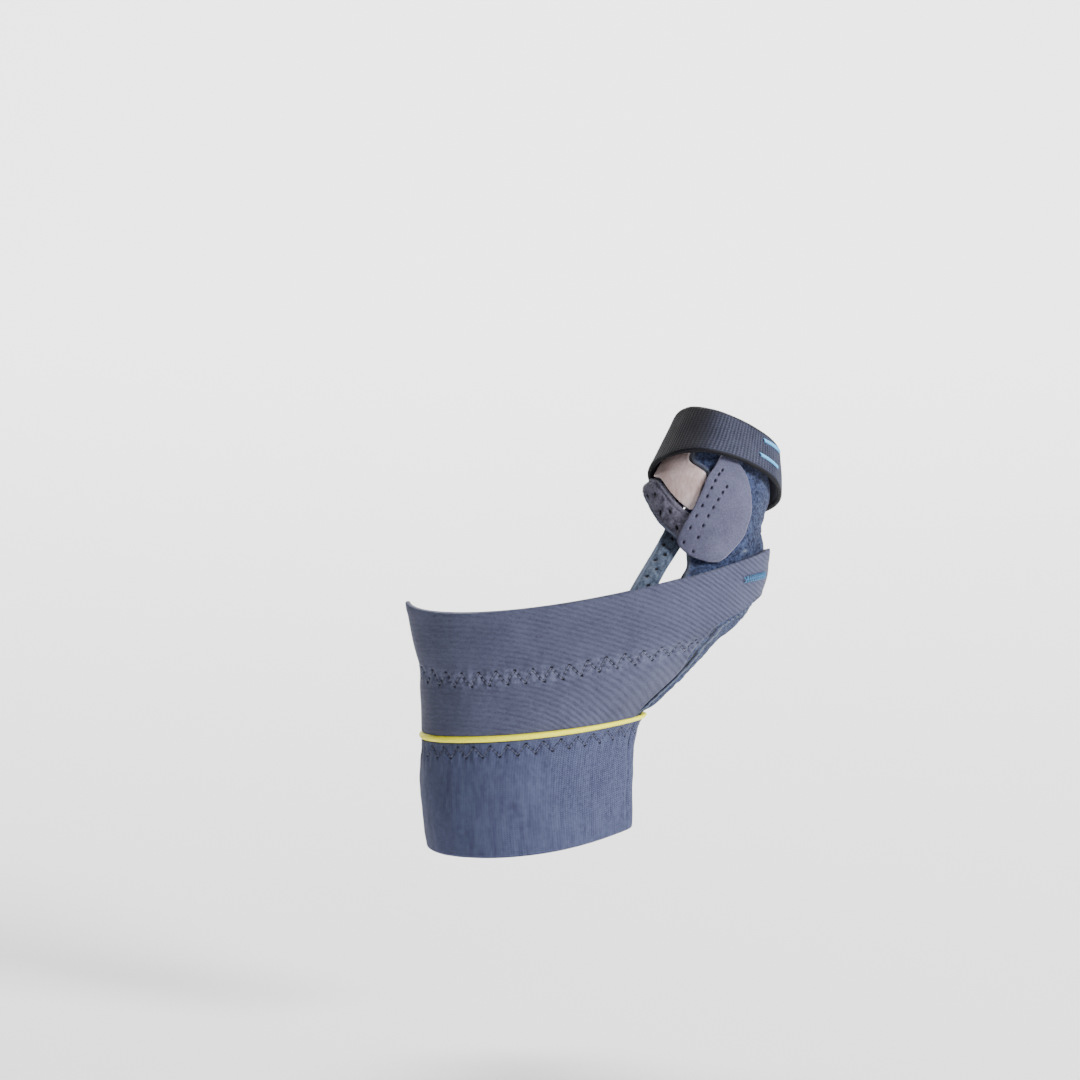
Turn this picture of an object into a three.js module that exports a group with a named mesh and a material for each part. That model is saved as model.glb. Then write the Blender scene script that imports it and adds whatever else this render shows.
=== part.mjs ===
// Thumb spica splint for a right hand, held open in the form that it has when worn.
//
// A cuff closes round the wrist. A broad elastic strap rises from it round the heel of the hand
// and lands on the outside of the thumb base. A padded saddle runs inside the strap from the wrist
// to the thumb, where a webbing ring, a web band and a tab hold it. A thin plate shows in the
// window between the saddle and the web band.
//
// Every piece lies on one of two unseen forms, the hand and the thumb. A form is a stack of oval
// sections. A place on it has an angle round the section, 0 at the thumb side, 180 at the little
// finger side, below 0 on the palm side and above 0 on the back. It has a height counted in
// sections, and a distance out from the form's face.
//
// The forms are drawn as the worn splint is seen from its palm side, +X to the thumb, +Y away
// from the viewer. There the wrist leans towards the viewer, and the last step stands it on +Z.

import * as THREE from 'three';

// Driving dimensions, in millimetres and degrees
const WRIST_WIDTH = 64;
const WRIST_DEPTH = 45;
const CUFF_HEIGHT = 34;
const THUMB_REACH = 72.7;
const HAND_DEPTH = 46;
const STRAP_HEIGHT = 45;
const THUMB_WIDTH = 36;
const THUMB_DEPTH = 28;
const THUMB_HEIGHT = 45;
const CUFF_WALL = 1.8;
const STRAP_WALL = 1.6;
const SADDLE_WALL = 2.4;
const BAND_WALL = 2.2;
const RING_WALL = 1.5;
const TAB_WALL = 1.5;
const PLATE_WALL = 1.0;
const PIPING = 2.0;
const RING_LIFT = 2.2;
const LAYER_GAP = 0.4;
const LEAN = 10;

// Places of the layers, measured out from a form's face
const STRAP_INSIDE = -STRAP_WALL;
const SADDLE_IN_SLEEVE = -Math.max(STRAP_WALL, CUFF_WALL) - LAYER_GAP;
const THENAR_IN_SLEEVE = STRAP_INSIDE - 2 * LAYER_GAP;
const BELOW_BAND = -BAND_WALL - LAYER_GAP;

// Heights on the two forms, counted in sections
const CUFF_HEM = 0;
const PIPING_LEVEL = 2;
const STRAP_HEM = 5;
const RING_LOW = 4;
const RING_HIGH = 5;

// Sections of the cuff. The left side is a share of the wrist's width, the reach goes from half
// that width (0) to the thumb's reach (1), and both heights are shares of the cuff's height.
// Depth is a share of the wrist's. Lean, dip and pinch are the section's slope away from the
// viewer, its sag on both faces and how sharply it is folded at the thumb side.
const CUFF_SECTIONS = [
  { left: 0.469, reach: -0.015, leftUp: -0.424, rightUp: -0.265, depth: 0.978, lean: 0.24, dip: 0, pinch: 0.6 },
  { left: 0.502, reach: -0.005, leftUp: 0.076, rightUp: 0.176, depth: 0.996, lean: 0.18, dip: 0, pinch: 0.58 },
  { left: 0.497, reach: 0.08, leftUp: 0.565, rightUp: 0.732, depth: 1.022, lean: 0.13, dip: 0, pinch: 0.4 },
];

// Sections of the strap above the piping. Heights are shares of the strap's height, counted from
// the piping's two ends, and depth and dip are shares of the hand's depth.
const STRAP_SECTIONS = [
  { left: 0.506, reach: 0.598, leftUp: 0.407, rightUp: 0.453, depth: 1.009, lean: 0.08, dip: 0.07, pinch: 0.15 },
  { left: 0.538, reach: 0.893, leftUp: 0.633, rightUp: 0.713, depth: 1.009, lean: 0.03, dip: 0.14, pinch: 0 },
  { left: 0.57, reach: 1, leftUp: 0.887, rightUp: 1.124, depth: 1, lean: 0, dip: 0.196, pinch: 0 },
];

// Sections of the thumb, from inside the strap to the ring's upper edge. Inset is how far the
// section's middle lies inside the thumb's reach, rise its height over the strap's highest
// corner, and behind how far it lies behind the strap's top edge, as a share of the thumb's
// depth. Across and lean are slopes towards the thumb side and away from the viewer.
const THUMB_SECTIONS = [
  { inset: 0.514, half: 0.458, depth: 0.5, rise: -0.256, behind: 0, across: 0, lean: 0 },
  { inset: 0.533, half: 0.45, depth: 0.5, rise: 0.056, behind: 0.02, across: 0, lean: -0.1 },
  { inset: 0.539, half: 0.489, depth: 0.5, rise: 0.211, behind: 0.05, across: 0, lean: -0.28 },
  { inset: 0.544, half: 0.522, depth: 0.507, rise: 0.311, behind: 0.08, across: -0.08, lean: -0.45 },
  { inset: 0.486, half: 0.481, depth: 0.5, rise: 0.4, behind: 0.12, across: -0.15, lean: -0.53 },
  { inset: 0.376, half: 0.357, depth: 0.429, rise: 0.717, behind: 0.32, across: -0.27, lean: -0.43 },
];

// Where the strap ends: its tip on the palm side and its sewn end on the back
const STRAP_ENDS = [
  { up: PIPING_LEVEL, tip: -26, sewn: 22 },
  { up: 2.3, tip: -23.5, sewn: 26 },
  { up: 2.6, tip: -22.3, sewn: 30 },
  { up: 2.8, tip: -26.8, sewn: 33 },
  { up: 3, tip: -32.8, sewn: 35 },
  { up: 3.35, tip: -37.3, sewn: 39 },
  { up: 3.7, tip: -39, sewn: 42 },
  { up: 3.9, tip: -38, sewn: 45 },
  { up: 4, tip: -32.5, sewn: 45 },
  { up: 4.08, tip: -21, sewn: 46 },
  { up: 4.15, tip: -9, sewn: 46 },
  { up: 4.25, tip: 2, sewn: 46 },
  { up: 4.42, tip: 10, sewn: 47 },
  { up: 4.7, tip: 17, sewn: 49 },
  { up: STRAP_HEM, tip: 20, sewn: 50 },
];

// The saddle's palm and back edges inside the strap, on the hand's form, and how far it stands
// proud in the opening between the strap's two ends, as a share of its wall
const SADDLE_IN_STRAP = [
  { up: 1.97, palm: -31, back: 38, proud: 0 },
  { up: 2.07, palm: -31, back: 39, proud: 0.2 },
  { up: 2.17, palm: -32, back: 39, proud: 1.1 },
  { up: 2.35, palm: -33, back: 41, proud: 1.4 },
  { up: 2.55, palm: -34, back: 44, proud: 1 },
  { up: 2.8, palm: -37, back: 47, proud: 0.4 },
  { up: 3.1, palm: -41, back: 51, proud: 0 },
  { up: 3.5, palm: -46, back: 56, proud: 0 },
  { up: 3.9, palm: -49, back: 60, proud: 0 },
  { up: 4.3, palm: -53, back: 60, proud: 0 },
  { up: 4.7, palm: -57, back: 59, proud: 0 },
  { up: 5, palm: -58, back: 58, proud: 0 },
];

// The saddle's edges on the thumb's form. The first rows clear the strap's slanting edge, so
// they stand higher at the side than on the two faces.
const SADDLE_ON_THUMB = [
  { up: 0.39, side: 1.1, palm: -113, back: 113 },
  { up: 0.66, side: 1.2, palm: -112, back: 113 },
  { up: 0.95, side: 1.3, palm: -109, back: 113 },
  { up: 1.3, side: 1.55, palm: -104, back: 114 },
  { up: 1.65, side: 1.8, palm: -99, back: 115 },
  { up: 2.1, side: 2.1, palm: -95, back: 115.5 },
  { up: 2.6, side: 2.6, palm: -90, back: 115.3 },
  { up: 3.1, side: 3.1, palm: -86.5, back: 115.3 },
  { up: 3.6, side: 3.6, palm: -95, back: 115.3 },
  { up: 4, side: 4, palm: -111, back: 115.3 },
  { up: 4.4, side: 4.4, palm: -117, back: 115.3 },
];

// The web band's lower and upper edges, from under the tab round the web to the saddle's back
const WEB_BAND = [
  { low: [-115.5, 0.72], high: [-103, 1.6] },
  { low: [-132.3, 0.99], high: [-109.3, 1.65] },
  { low: [-150.2, 1.36], high: [-121.2, 2.09] },
  { low: [-161.9, 1.98], high: [-137.3, 3.02] },
  { low: [-168.4, 2.64], high: [-158, 3.6] },
  { low: [-182, 3.2], high: [-180, 4] },
  { low: [-203, 3.2], high: [-203, 4.35] },
  { low: [-224, 2.9], high: [-224, 4.4] },
  { low: [-243, 2.5], high: [-243, 4.3] },
];

// The plate lies in the window between the web band's upper edge and the saddle's palm edge
const PLATE = [
  { low: [-107.5, 1.74], high: [-102, 1.74] },
  { low: [-118.3, 2.1], high: [-97.7, 2.1] },
  { low: [-127.2, 2.6], high: [-92.8, 2.6] },
  { low: [-135.5, 3.1], high: [-89.3, 3.1] },
  { low: [-142.5, 3.35], high: [-91.5, 3.35] },
  { low: [-153.5, 3.6], high: [-98, 3.6] },
  { low: [-172, 4], high: [-114, 4] },
  { low: [-176, 4.3], high: [-119, 4.3] },
];

// The tab's straight edge and its round edge, upwards
const TAB = [
  { low: [-90, 0.42], high: [-80, 0.42] },
  { low: [-103, 0.5], high: [-73, 0.5] },
  { low: [-114, 0.62], high: [-66, 0.62] },
  { low: [-121, 0.79], high: [-58, 0.77] },
  { low: [-119, 0.97], high: [-50, 0.97] },
  { low: [-111, 1.32], high: [-45, 1.32] },
  { low: [-103.2, 1.69], high: [-43, 1.69] },
  { low: [-94, 2.33], high: [-45, 2.33] },
  { low: [-88.3, 2.99], high: [-49, 2.99] },
  { low: [-85.5, 3.7], high: [-56, 3.7] },
  { low: [-84.2, 4.05], high: [-65, 4.05] },
  { low: [-83, 4.25], high: [-74, 4.25] },
];

// The thenar band's edges inside the strap, on the hand's form, and under the web band
const THENAR_IN_STRAP = [
  { low: [-81.5, 3.8], high: [-70, 3.8] },
  { low: [-80, 4.2], high: [-69, 4.2] },
  { low: [-78.5, 4.6], high: [-68, 4.6] },
  { low: [-76.8, 5], high: [-66.8, 5] },
];
const THENAR_ON_THUMB = [
  { low: [-153, 1.3], high: [-126, 0.8] },
  { low: [-141, 1.8], high: [-112.5, 1.25] },
];

// Faceting
const CUFF_STEPS = 48;
const STRAP_STEPS = 46;
const RING_STEPS = 40;
const PIPING_STEPS = 56;
const PIPING_SIDES = 8;
const SOFT_DIP = 0.06;
const THUMB_SIDE_DIP = 0.6;

// The value on the smooth line through a list of values, with each value at its place in places
function smooth(places, values, place) {
  const last = places.length - 1;
  const held = Math.min(Math.max(place, places[0]), places[last]);
  let k = 0;
  while (k < last - 1 && held > places[k + 1]) k += 1;
  const span = places[k + 1] - places[k];
  const f = (held - places[k]) / span;
  const slope = (i) => {
    const before = Math.max(i - 1, 0);
    const after = Math.min(i + 1, last);
    return (values[after] - values[before]) / (places[after] - places[before]);
  };
  const rise = f * f * (3 - 2 * f);
  const leave = f * (1 - f) * (1 - f) * span * slope(k);
  const arrive = f * f * (1 - f) * span * slope(k + 1);
  return values[k] * (1 - rise) + values[k + 1] * rise + leave - arrive;
}

// One column of a table of rows, read on the smooth line through the rows
function column(rows, name, place, placeName) {
  const places = rows.map((row, i) => (placeName ? row[placeName] : i));
  return smooth(places, rows.map((row) => row[name]), place);
}

// A hand section with its real middle, half sizes and slopes, from a row of shares
function handSection(row, baseLeft, baseRight, height, depth) {
  const left = -row.left * WRIST_WIDTH;
  const right = WRIST_WIDTH / 2 + row.reach * (THUMB_REACH - WRIST_WIDTH / 2);
  const leftZ = baseLeft + row.leftUp * height;
  const rightZ = baseRight + row.rightUp * height;
  return {
    x: (left + right) / 2,
    halfX: (right - left) / 2,
    y: -(leftZ + rightZ) / 2 * Math.tan(THREE.MathUtils.degToRad(LEAN)),
    halfY: row.depth * depth / 2,
    z: (leftZ + rightZ) / 2,
    across: (rightZ - leftZ) / (right - left),
    lean: row.lean,
    dip: row.dip * depth,
    pinch: row.pinch,
  };
}

function handForm() {
  const cuff = CUFF_SECTIONS.map((row) => handSection(row, 0, 0, CUFF_HEIGHT, WRIST_DEPTH));
  const seam = CUFF_SECTIONS[CUFF_SECTIONS.length - 1];
  const leftZ = seam.leftUp * CUFF_HEIGHT;
  const rightZ = seam.rightUp * CUFF_HEIGHT;
  const strap = STRAP_SECTIONS.map((row) => handSection(row, leftZ, rightZ, STRAP_HEIGHT, HAND_DEPTH));
  return [...cuff, ...strap];
}

function thumbForm(hand) {
  const top = hand[hand.length - 1];
  const cornerZ = top.z + top.across * top.halfX;
  return THUMB_SECTIONS.map((row) => ({
    x: THUMB_REACH - row.inset * THUMB_WIDTH,
    halfX: row.half * THUMB_WIDTH,
    y: top.y + row.behind * THUMB_DEPTH,
    halfY: row.depth * THUMB_DEPTH,
    z: cornerZ + row.rise * THUMB_HEIGHT,
    across: row.across,
    lean: row.lean,
    dip: 0,
    pinch: 0,
  }));
}

// The point of a form at an angle, a height and a distance out along the section's own normal
function onForm(form, angle, up, out) {
  const s = Object.fromEntries(Object.keys(form[0]).map((key) => [key, column(form, key, up)]));
  const t = THREE.MathUtils.degToRad(angle);
  const near = (1 + Math.cos(t)) / 2;
  const pinched = 1 - s.pinch * near ** 4;
  const alongX = -s.halfX * Math.sin(t);
  const alongY = s.halfY * (Math.cos(t) * pinched + 2 * s.pinch * near ** 3 * Math.sin(t) ** 2);
  const length = Math.hypot(alongX, alongY);
  const x = s.halfX * Math.cos(t) + out * alongY / length;
  const y = s.halfY * Math.sin(t) * pinched - out * alongX / length;
  const sag = (Math.hypot(Math.sin(t), SOFT_DIP) - SOFT_DIP) * (1 - (1 - THUMB_SIDE_DIP) * near ** 2);
  return new THREE.Vector3(s.x + x, s.y + y, s.z + s.across * x + s.lean * y - s.dip * sag);
}

// The height that lies a number of millimetres up the form's face from another height
function raised(form, angle, up, distance) {
  const step = 0.01;
  const rate = onForm(form, angle, up - step, 0).distanceTo(onForm(form, angle, up + step, 0)) / (2 * step);
  return up + distance / rate;
}

// A closed band of points: the outer face one way across, the inner face back
function section(form, place, steps, outer, inner) {
  const across = Array.from({ length: steps + 1 }, (_, k) => place(k / steps));
  const face = (out, places) => places.map(([angle, up]) => onForm(form, angle, up, out(angle, up)));
  return [...face(outer, across), ...face(inner, [...across].reverse())];
}

// The section that lies between a row's two edges
function rowSection(form, row, steps, outer, inner) {
  const place = (f) => row.low.map((low, k) => THREE.MathUtils.lerp(low, row.high[k], f));
  return section(form, place, steps, () => outer, () => inner);
}

// More sections between the given ones, on the smooth lines through their points. The sections
// are spaced by the distance between their middles, so that a long gap bends no short one.
function refined(sections, times) {
  const middles = sections.map((points) => points
    .reduce((sum, point) => sum.add(point), new THREE.Vector3()).divideScalar(points.length));
  const places = middles.map(() => 0);
  for (let i = 1; i < places.length; i += 1) {
    places[i] = places[i - 1] + middles[i].distanceTo(middles[i - 1]);
  }
  const count = (sections.length - 1) * times;
  return Array.from({ length: count + 1 }, (_, k) => {
    const i = Math.min(Math.floor(k / times), places.length - 2);
    const place = THREE.MathUtils.lerp(places[i], places[i + 1], k / times - i);
    return sections[0].map((_, p) => {
      const axis = (name) => smooth(places, sections.map((points) => points[p][name]), place);
      return new THREE.Vector3(axis('x'), axis('y'), axis('z'));
    });
  });
}

// A body carried through sections of equal length. A ring joins its last section to its first,
// and any other body gets two ends. The faces are turned outwards by the sign of the volume.
function loft(sections, ring) {
  const size = sections[0].length;
  const position = sections.flat().flatMap((point) => point.toArray());
  const faces = [];
  const spans = ring ? sections.length : sections.length - 1;
  for (let i = 0; i < spans; i += 1) {
    const here = i * size;
    const next = ((i + 1) % sections.length) * size;
    for (let k = 0; k < size; k += 1) {
      const l = (k + 1) % size;
      faces.push([here + k, next + k, next + l], [here + k, next + l, here + l]);
    }
  }
  if (!ring) {
    const end = (sections.length - 1) * size;
    for (let k = 0; k < size / 2 - 1; k += 1) {
      const m = size - 1 - k;
      faces.push([k, k + 1, m - 1], [k, m - 1, m]);
      faces.push([end + k, end + m - 1, end + k + 1], [end + k, end + m, end + m - 1]);
    }
  }
  const corner = (index) => new THREE.Vector3().fromArray(position, index * 3);
  const volume = faces.reduce((sum, [a, b, c]) => sum + corner(a).dot(corner(b).cross(corner(c))), 0);
  const index = volume > 0 ? faces.flat() : faces.flatMap(([a, b, c]) => [a, c, b]);
  const geometry = new THREE.BufferGeometry();
  geometry.setAttribute('position', new THREE.Float32BufferAttribute(position, 3));
  geometry.setIndex(index);
  geometry.computeVertexNormals();
  return geometry;
}

const hand = handForm();
const thumb = thumbForm(hand);
const seamRoom = PIPING / 2 + LAYER_GAP;

// The cuff is a closed band from its hem to the piping
function wristCuff() {
  const sections = Array.from({ length: CUFF_STEPS }, (_, i) => {
    const angle = i * 360 / CUFF_STEPS;
    const top = raised(hand, angle, PIPING_LEVEL, -seamRoom);
    const place = (f) => [angle, THREE.MathUtils.lerp(CUFF_HEM, top, f)];
    return section(hand, place, 6, () => 0, () => -CUFF_WALL);
  });
  return loft(sections, true);
}

// The piping is a round cord in the seam between the cuff and the strap
function cuffPiping() {
  const sections = Array.from({ length: PIPING_STEPS }, (_, i) => {
    const angle = i * 360 / PIPING_STEPS;
    return Array.from({ length: PIPING_SIDES }, (_, k) => {
      const turn = k * 2 * Math.PI / PIPING_SIDES;
      const out = PIPING / 2 * (Math.cos(turn) - 0.5);
      return onForm(hand, angle, raised(hand, angle, PIPING_LEVEL, PIPING / 2 * Math.sin(turn)), out);
    });
  });
  return loft(sections, true);
}

// The distance that the saddle stands out between the strap's two ends, none at the ends
function proudOfStrap(row, angle) {
  const end = column(STRAP_ENDS, angle < 0 ? 'tip' : 'sewn', row.up, 'up');
  const share = Math.min(Math.abs(angle / end), 1);
  return row.proud * SADDLE_WALL * (1 - share ** 2) ** 2;
}

// The strap runs from its sewn end over the back and the little finger side to its tip
function palmStrap() {
  const heights = STRAP_ENDS.map((row) => row.up);
  const sections = Array.from({ length: STRAP_STEPS + 1 }, (_, i) => {
    const place = (f) => {
      const up = heights[Math.round(f * (heights.length - 1))];
      const sewn = column(STRAP_ENDS, 'sewn', up, 'up');
      const tip = column(STRAP_ENDS, 'tip', up, 'up') + 360;
      const angle = THREE.MathUtils.lerp(sewn, tip, i / STRAP_STEPS);
      return [angle, up === PIPING_LEVEL ? raised(hand, angle, up, seamRoom) : up];
    };
    return section(hand, place, heights.length - 1, () => 0, () => STRAP_INSIDE);
  });
  return loft(sections, false);
}

// The saddle follows the strap's inner face to the strap's edge and goes on round the thumb
function thumbSaddle() {
  const steps = 16;
  const inSleeve = SADDLE_IN_STRAP.map((row) => {
    const place = (f) => [THREE.MathUtils.lerp(row.palm, row.back, f), row.up];
    const outer = (angle) => SADDLE_IN_SLEEVE + proudOfStrap(row, angle);
    return section(hand, place, steps, outer, (angle) => outer(angle) - SADDLE_WALL);
  });
  const onThumb = SADDLE_ON_THUMB.map((row) => {
    const place = (f) => {
      const angle = THREE.MathUtils.lerp(row.palm, row.back, f);
      const side = ((1 + Math.cos(THREE.MathUtils.degToRad(angle))) / 2) ** 3;
      return [angle, THREE.MathUtils.lerp(row.up, row.side, side)];
    };
    return section(thumb, place, steps, () => 0, () => -SADDLE_WALL);
  });
  return loft(refined([...inSleeve, ...onThumb], 2), false);
}

// The thenar band hangs from under the web band down inside the strap
function thenarBand() {
  const inSleeve = THENAR_IN_STRAP.map(
    (row) => rowSection(hand, row, 3, THENAR_IN_SLEEVE, THENAR_IN_SLEEVE - BAND_WALL));
  const onThumb = THENAR_ON_THUMB.map(
    (row) => rowSection(thumb, row, 3, BELOW_BAND, BELOW_BAND - BAND_WALL));
  return loft(refined([...inSleeve, ...onThumb], 3), false);
}

function onThumbPiece(rows, steps, times, outer, inner) {
  return loft(refined(rows.map((row) => rowSection(thumb, row, steps, outer, inner)), times), false);
}

// The ring stands off the saddle on the thumb's outer side, where it passes over the tab
function thumbRing() {
  const lift = (angle) => {
    const turned = THREE.MathUtils.degToRad(angle + 45);
    return LAYER_GAP + RING_LIFT * (1 + Math.cos(turned)) / 2;
  };
  const sections = Array.from({ length: RING_STEPS }, (_, i) => {
    const angle = i * 360 / RING_STEPS;
    const place = (f) => [angle, THREE.MathUtils.lerp(RING_LOW, RING_HIGH, f)];
    return section(thumb, place, 4, (turn) => lift(turn) + RING_WALL, (turn) => lift(turn));
  });
  return loft(sections, true);
}

function piece(name, geometry, color, roughness, metalness = 0) {
  const mesh = new THREE.Mesh(geometry, new THREE.MeshStandardMaterial({ color, roughness, metalness }));
  mesh.name = name;
  return mesh;
}

const splint = new THREE.Group();
splint.add(
  piece('wrist_cuff', wristCuff(), '#4a5470', 0.8),
  piece('cuff_piping', cuffPiping(), '#e6e05a', 0.55),
  piece('palm_strap', palmStrap(), '#5d6075', 0.8),
  piece('thumb_saddle', thumbSaddle(), '#57637c', 0.95),
  piece('thenar_band', thenarBand(), '#5f6b7d', 0.85),
  piece('web_band', onThumbPiece(WEB_BAND, 4, 3, 0, -BAND_WALL), '#3c4152', 0.85),
  piece('stay_plate', onThumbPiece(PLATE, 5, 2, 0, -PLATE_WALL), '#b5a3a6', 0.35, 0.9),
  piece('strap_tab', onThumbPiece(TAB, 7, 3, LAYER_GAP + TAB_WALL, LAYER_GAP), '#75768a', 0.7),
  piece('thumb_ring', thumbRing(), '#343748', 0.75),
);
splint.rotation.x = -THREE.MathUtils.degToRad(LEAN);

export default splint;
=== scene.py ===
# Looks of a thumb spica splint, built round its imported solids. Each new piece is a grid of
# points worked out with numpy on the two forms that the solids lie on, in millimetres, and
# is turned into the frame's metres when its mesh is made.

import math

import bpy
import numpy as np
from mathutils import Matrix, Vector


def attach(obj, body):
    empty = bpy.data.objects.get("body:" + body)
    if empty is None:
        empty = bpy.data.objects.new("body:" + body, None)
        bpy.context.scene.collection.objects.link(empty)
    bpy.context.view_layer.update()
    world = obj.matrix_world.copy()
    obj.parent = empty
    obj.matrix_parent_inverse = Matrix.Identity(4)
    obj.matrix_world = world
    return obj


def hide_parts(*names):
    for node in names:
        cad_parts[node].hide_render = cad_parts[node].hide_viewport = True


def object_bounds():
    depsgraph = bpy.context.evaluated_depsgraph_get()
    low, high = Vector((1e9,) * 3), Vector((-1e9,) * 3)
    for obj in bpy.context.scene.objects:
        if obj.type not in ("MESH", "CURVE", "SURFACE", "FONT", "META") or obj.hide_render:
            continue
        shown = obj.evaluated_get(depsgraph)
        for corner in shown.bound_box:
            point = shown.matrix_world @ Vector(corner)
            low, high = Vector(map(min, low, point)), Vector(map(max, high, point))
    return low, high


MM = 0.001

# Driving dimensions of the splint, in millimetres, degrees and shares, as the solids have them
WRIST_WIDTH = 64.0
WRIST_DEPTH = 45.0
CUFF_HEIGHT = 34.0
THUMB_REACH = 72.7
STRAP_DEPTH = 46.0
STRAP_HEIGHT = 45.0
THUMB_WIDTH = 36.0
THUMB_DEPTH = 28.0
THUMB_HEIGHT = 45.0
CUFF_WALL = 1.8
STRAP_WALL = 1.6
SADDLE_WALL = 2.4
BAND_WALL = 2.2
RING_WALL = 1.5
TAB_WALL = 1.5
PLATE_WALL = 1.0
PIPING = 2.0
RING_LIFT = 2.2
LAYER_GAP = 0.4
LEAN = 10.0
SOFT_DIP = 0.06
THUMB_SIDE_DIP = 0.6

# Places of the layers, measured out from a form's face
SADDLE_IN_SLEEVE = -max(STRAP_WALL, CUFF_WALL) - LAYER_GAP
THENAR_IN_SLEEVE = -STRAP_WALL - 2 * LAYER_GAP
BELOW_BAND = -BAND_WALL - LAYER_GAP

# Heights on the two forms, counted in sections
CUFF_HEM = 0
PIPING_LEVEL = 2
STRAP_HEM = 5
RING_LOW = 4
RING_HIGH = 5

# Sections of the two forms, as shares of the sizes above
CUFF_COLUMNS = ("left", "reach", "leftUp", "rightUp", "depth", "lean", "dip", "pinch")
CUFF_SECTIONS = [
    (0.469, -0.015, -0.424, -0.265, 0.978, 0.24, 0, 0.6),
    (0.502, -0.005, 0.076, 0.176, 0.996, 0.18, 0, 0.58),
    (0.497, 0.08, 0.565, 0.732, 1.022, 0.13, 0, 0.4),
]
STRAP_SECTIONS = [
    (0.506, 0.598, 0.407, 0.453, 1.009, 0.08, 0.07, 0.15),
    (0.538, 0.893, 0.633, 0.713, 1.009, 0.03, 0.14, 0),
    (0.57, 1, 0.887, 1.124, 1, 0, 0.196, 0),
]
THUMB_COLUMNS = ("inset", "half", "depth", "rise", "behind", "across", "lean")
THUMB_SECTIONS = [
    (0.514, 0.458, 0.5, -0.256, 0, 0, 0),
    (0.533, 0.45, 0.5, 0.056, 0.02, 0, -0.1),
    (0.539, 0.489, 0.5, 0.211, 0.05, 0, -0.28),
    (0.544, 0.522, 0.507, 0.311, 0.08, -0.08, -0.45),
    (0.486, 0.481, 0.5, 0.4, 0.12, -0.15, -0.53),
    (0.376, 0.357, 0.429, 0.717, 0.32, -0.27, -0.43),
]

# Edges of the pieces on the forms: heights in sections, the other columns angles in degrees
STRAP_ENDS = [  # up, tip, sewn end
    (2, -26, 22), (2.3, -23.5, 26), (2.6, -22.3, 30), (2.8, -26.8, 33), (3, -32.8, 35),
    (3.35, -37.3, 39), (3.7, -39, 42), (3.9, -38, 45), (4, -32.5, 45), (4.08, -21, 46),
    (4.15, -9, 46), (4.25, 2, 46), (4.42, 10, 47), (4.7, 17, 49), (5, 20, 50),
]
SADDLE_IN_STRAP = [  # up, palm edge, back edge, share of the wall that it stands proud
    (1.97, -31, 38, 0), (2.07, -31, 39, 0.2), (2.17, -32, 39, 1.1), (2.35, -33, 41, 1.4),
    (2.55, -34, 44, 1), (2.8, -37, 47, 0.4), (3.1, -41, 51, 0), (3.5, -46, 56, 0),
    (3.9, -49, 60, 0), (4.3, -53, 60, 0), (4.7, -57, 59, 0), (5, -58, 58, 0),
]
SADDLE_ON_THUMB = [  # up, up at the saddle's side, palm edge, back edge
    (0.39, 1.1, -113, 113), (0.66, 1.2, -112, 113), (0.95, 1.3, -109, 113),
    (1.3, 1.55, -104, 114), (1.65, 1.8, -99, 115), (2.1, 2.1, -95, 115.5),
    (2.6, 2.6, -90, 115.3), (3.1, 3.1, -86.5, 115.3), (3.6, 3.6, -95, 115.3),
    (4, 4, -111, 115.3), (4.4, 4.4, -117, 115.3),
]
WEB_BAND = [  # lower edge's angle and up, upper edge's angle and up
    (-115.5, 0.72, -103, 1.6), (-132.3, 0.99, -109.3, 1.65), (-150.2, 1.36, -121.2, 2.09),
    (-161.9, 1.98, -137.3, 3.02), (-168.4, 2.64, -158, 3.6), (-182, 3.2, -180, 4),
    (-203, 3.2, -203, 4.35), (-224, 2.9, -224, 4.4), (-243, 2.5, -243, 4.3),
]
PLATE = [  # two edges, as the web band's
    (-107.5, 1.74, -102, 1.74), (-118.3, 2.1, -97.7, 2.1), (-127.2, 2.6, -92.8, 2.6),
    (-135.5, 3.1, -89.3, 3.1), (-142.5, 3.35, -91.5, 3.35), (-153.5, 3.6, -98, 3.6),
    (-172, 4, -114, 4), (-176, 4.3, -119, 4.3),
]
TAB = [  # two edges, as the web band's
    (-90, 0.42, -80, 0.42), (-103, 0.5, -73, 0.5), (-114, 0.62, -66, 0.62),
    (-121, 0.79, -58, 0.77), (-119, 0.97, -50, 0.97), (-111, 1.32, -45, 1.32),
    (-103.2, 1.69, -43, 1.69), (-94, 2.33, -45, 2.33), (-88.3, 2.99, -49, 2.99),
    (-85.5, 3.7, -56, 3.7), (-84.2, 4.05, -65, 4.05), (-83, 4.25, -74, 4.25),
]
THENAR_IN_STRAP = [  # two edges, as the web band's
    (-81.5, 3.8, -70, 3.8), (-80, 4.2, -69, 4.2), (-78.5, 4.6, -68, 4.6), (-76.8, 5, -66.8, 5),
]
THENAR_ON_THUMB = [(-153, 1.3, -126, 0.8), (-141, 1.8, -112.5, 1.25)]


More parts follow.
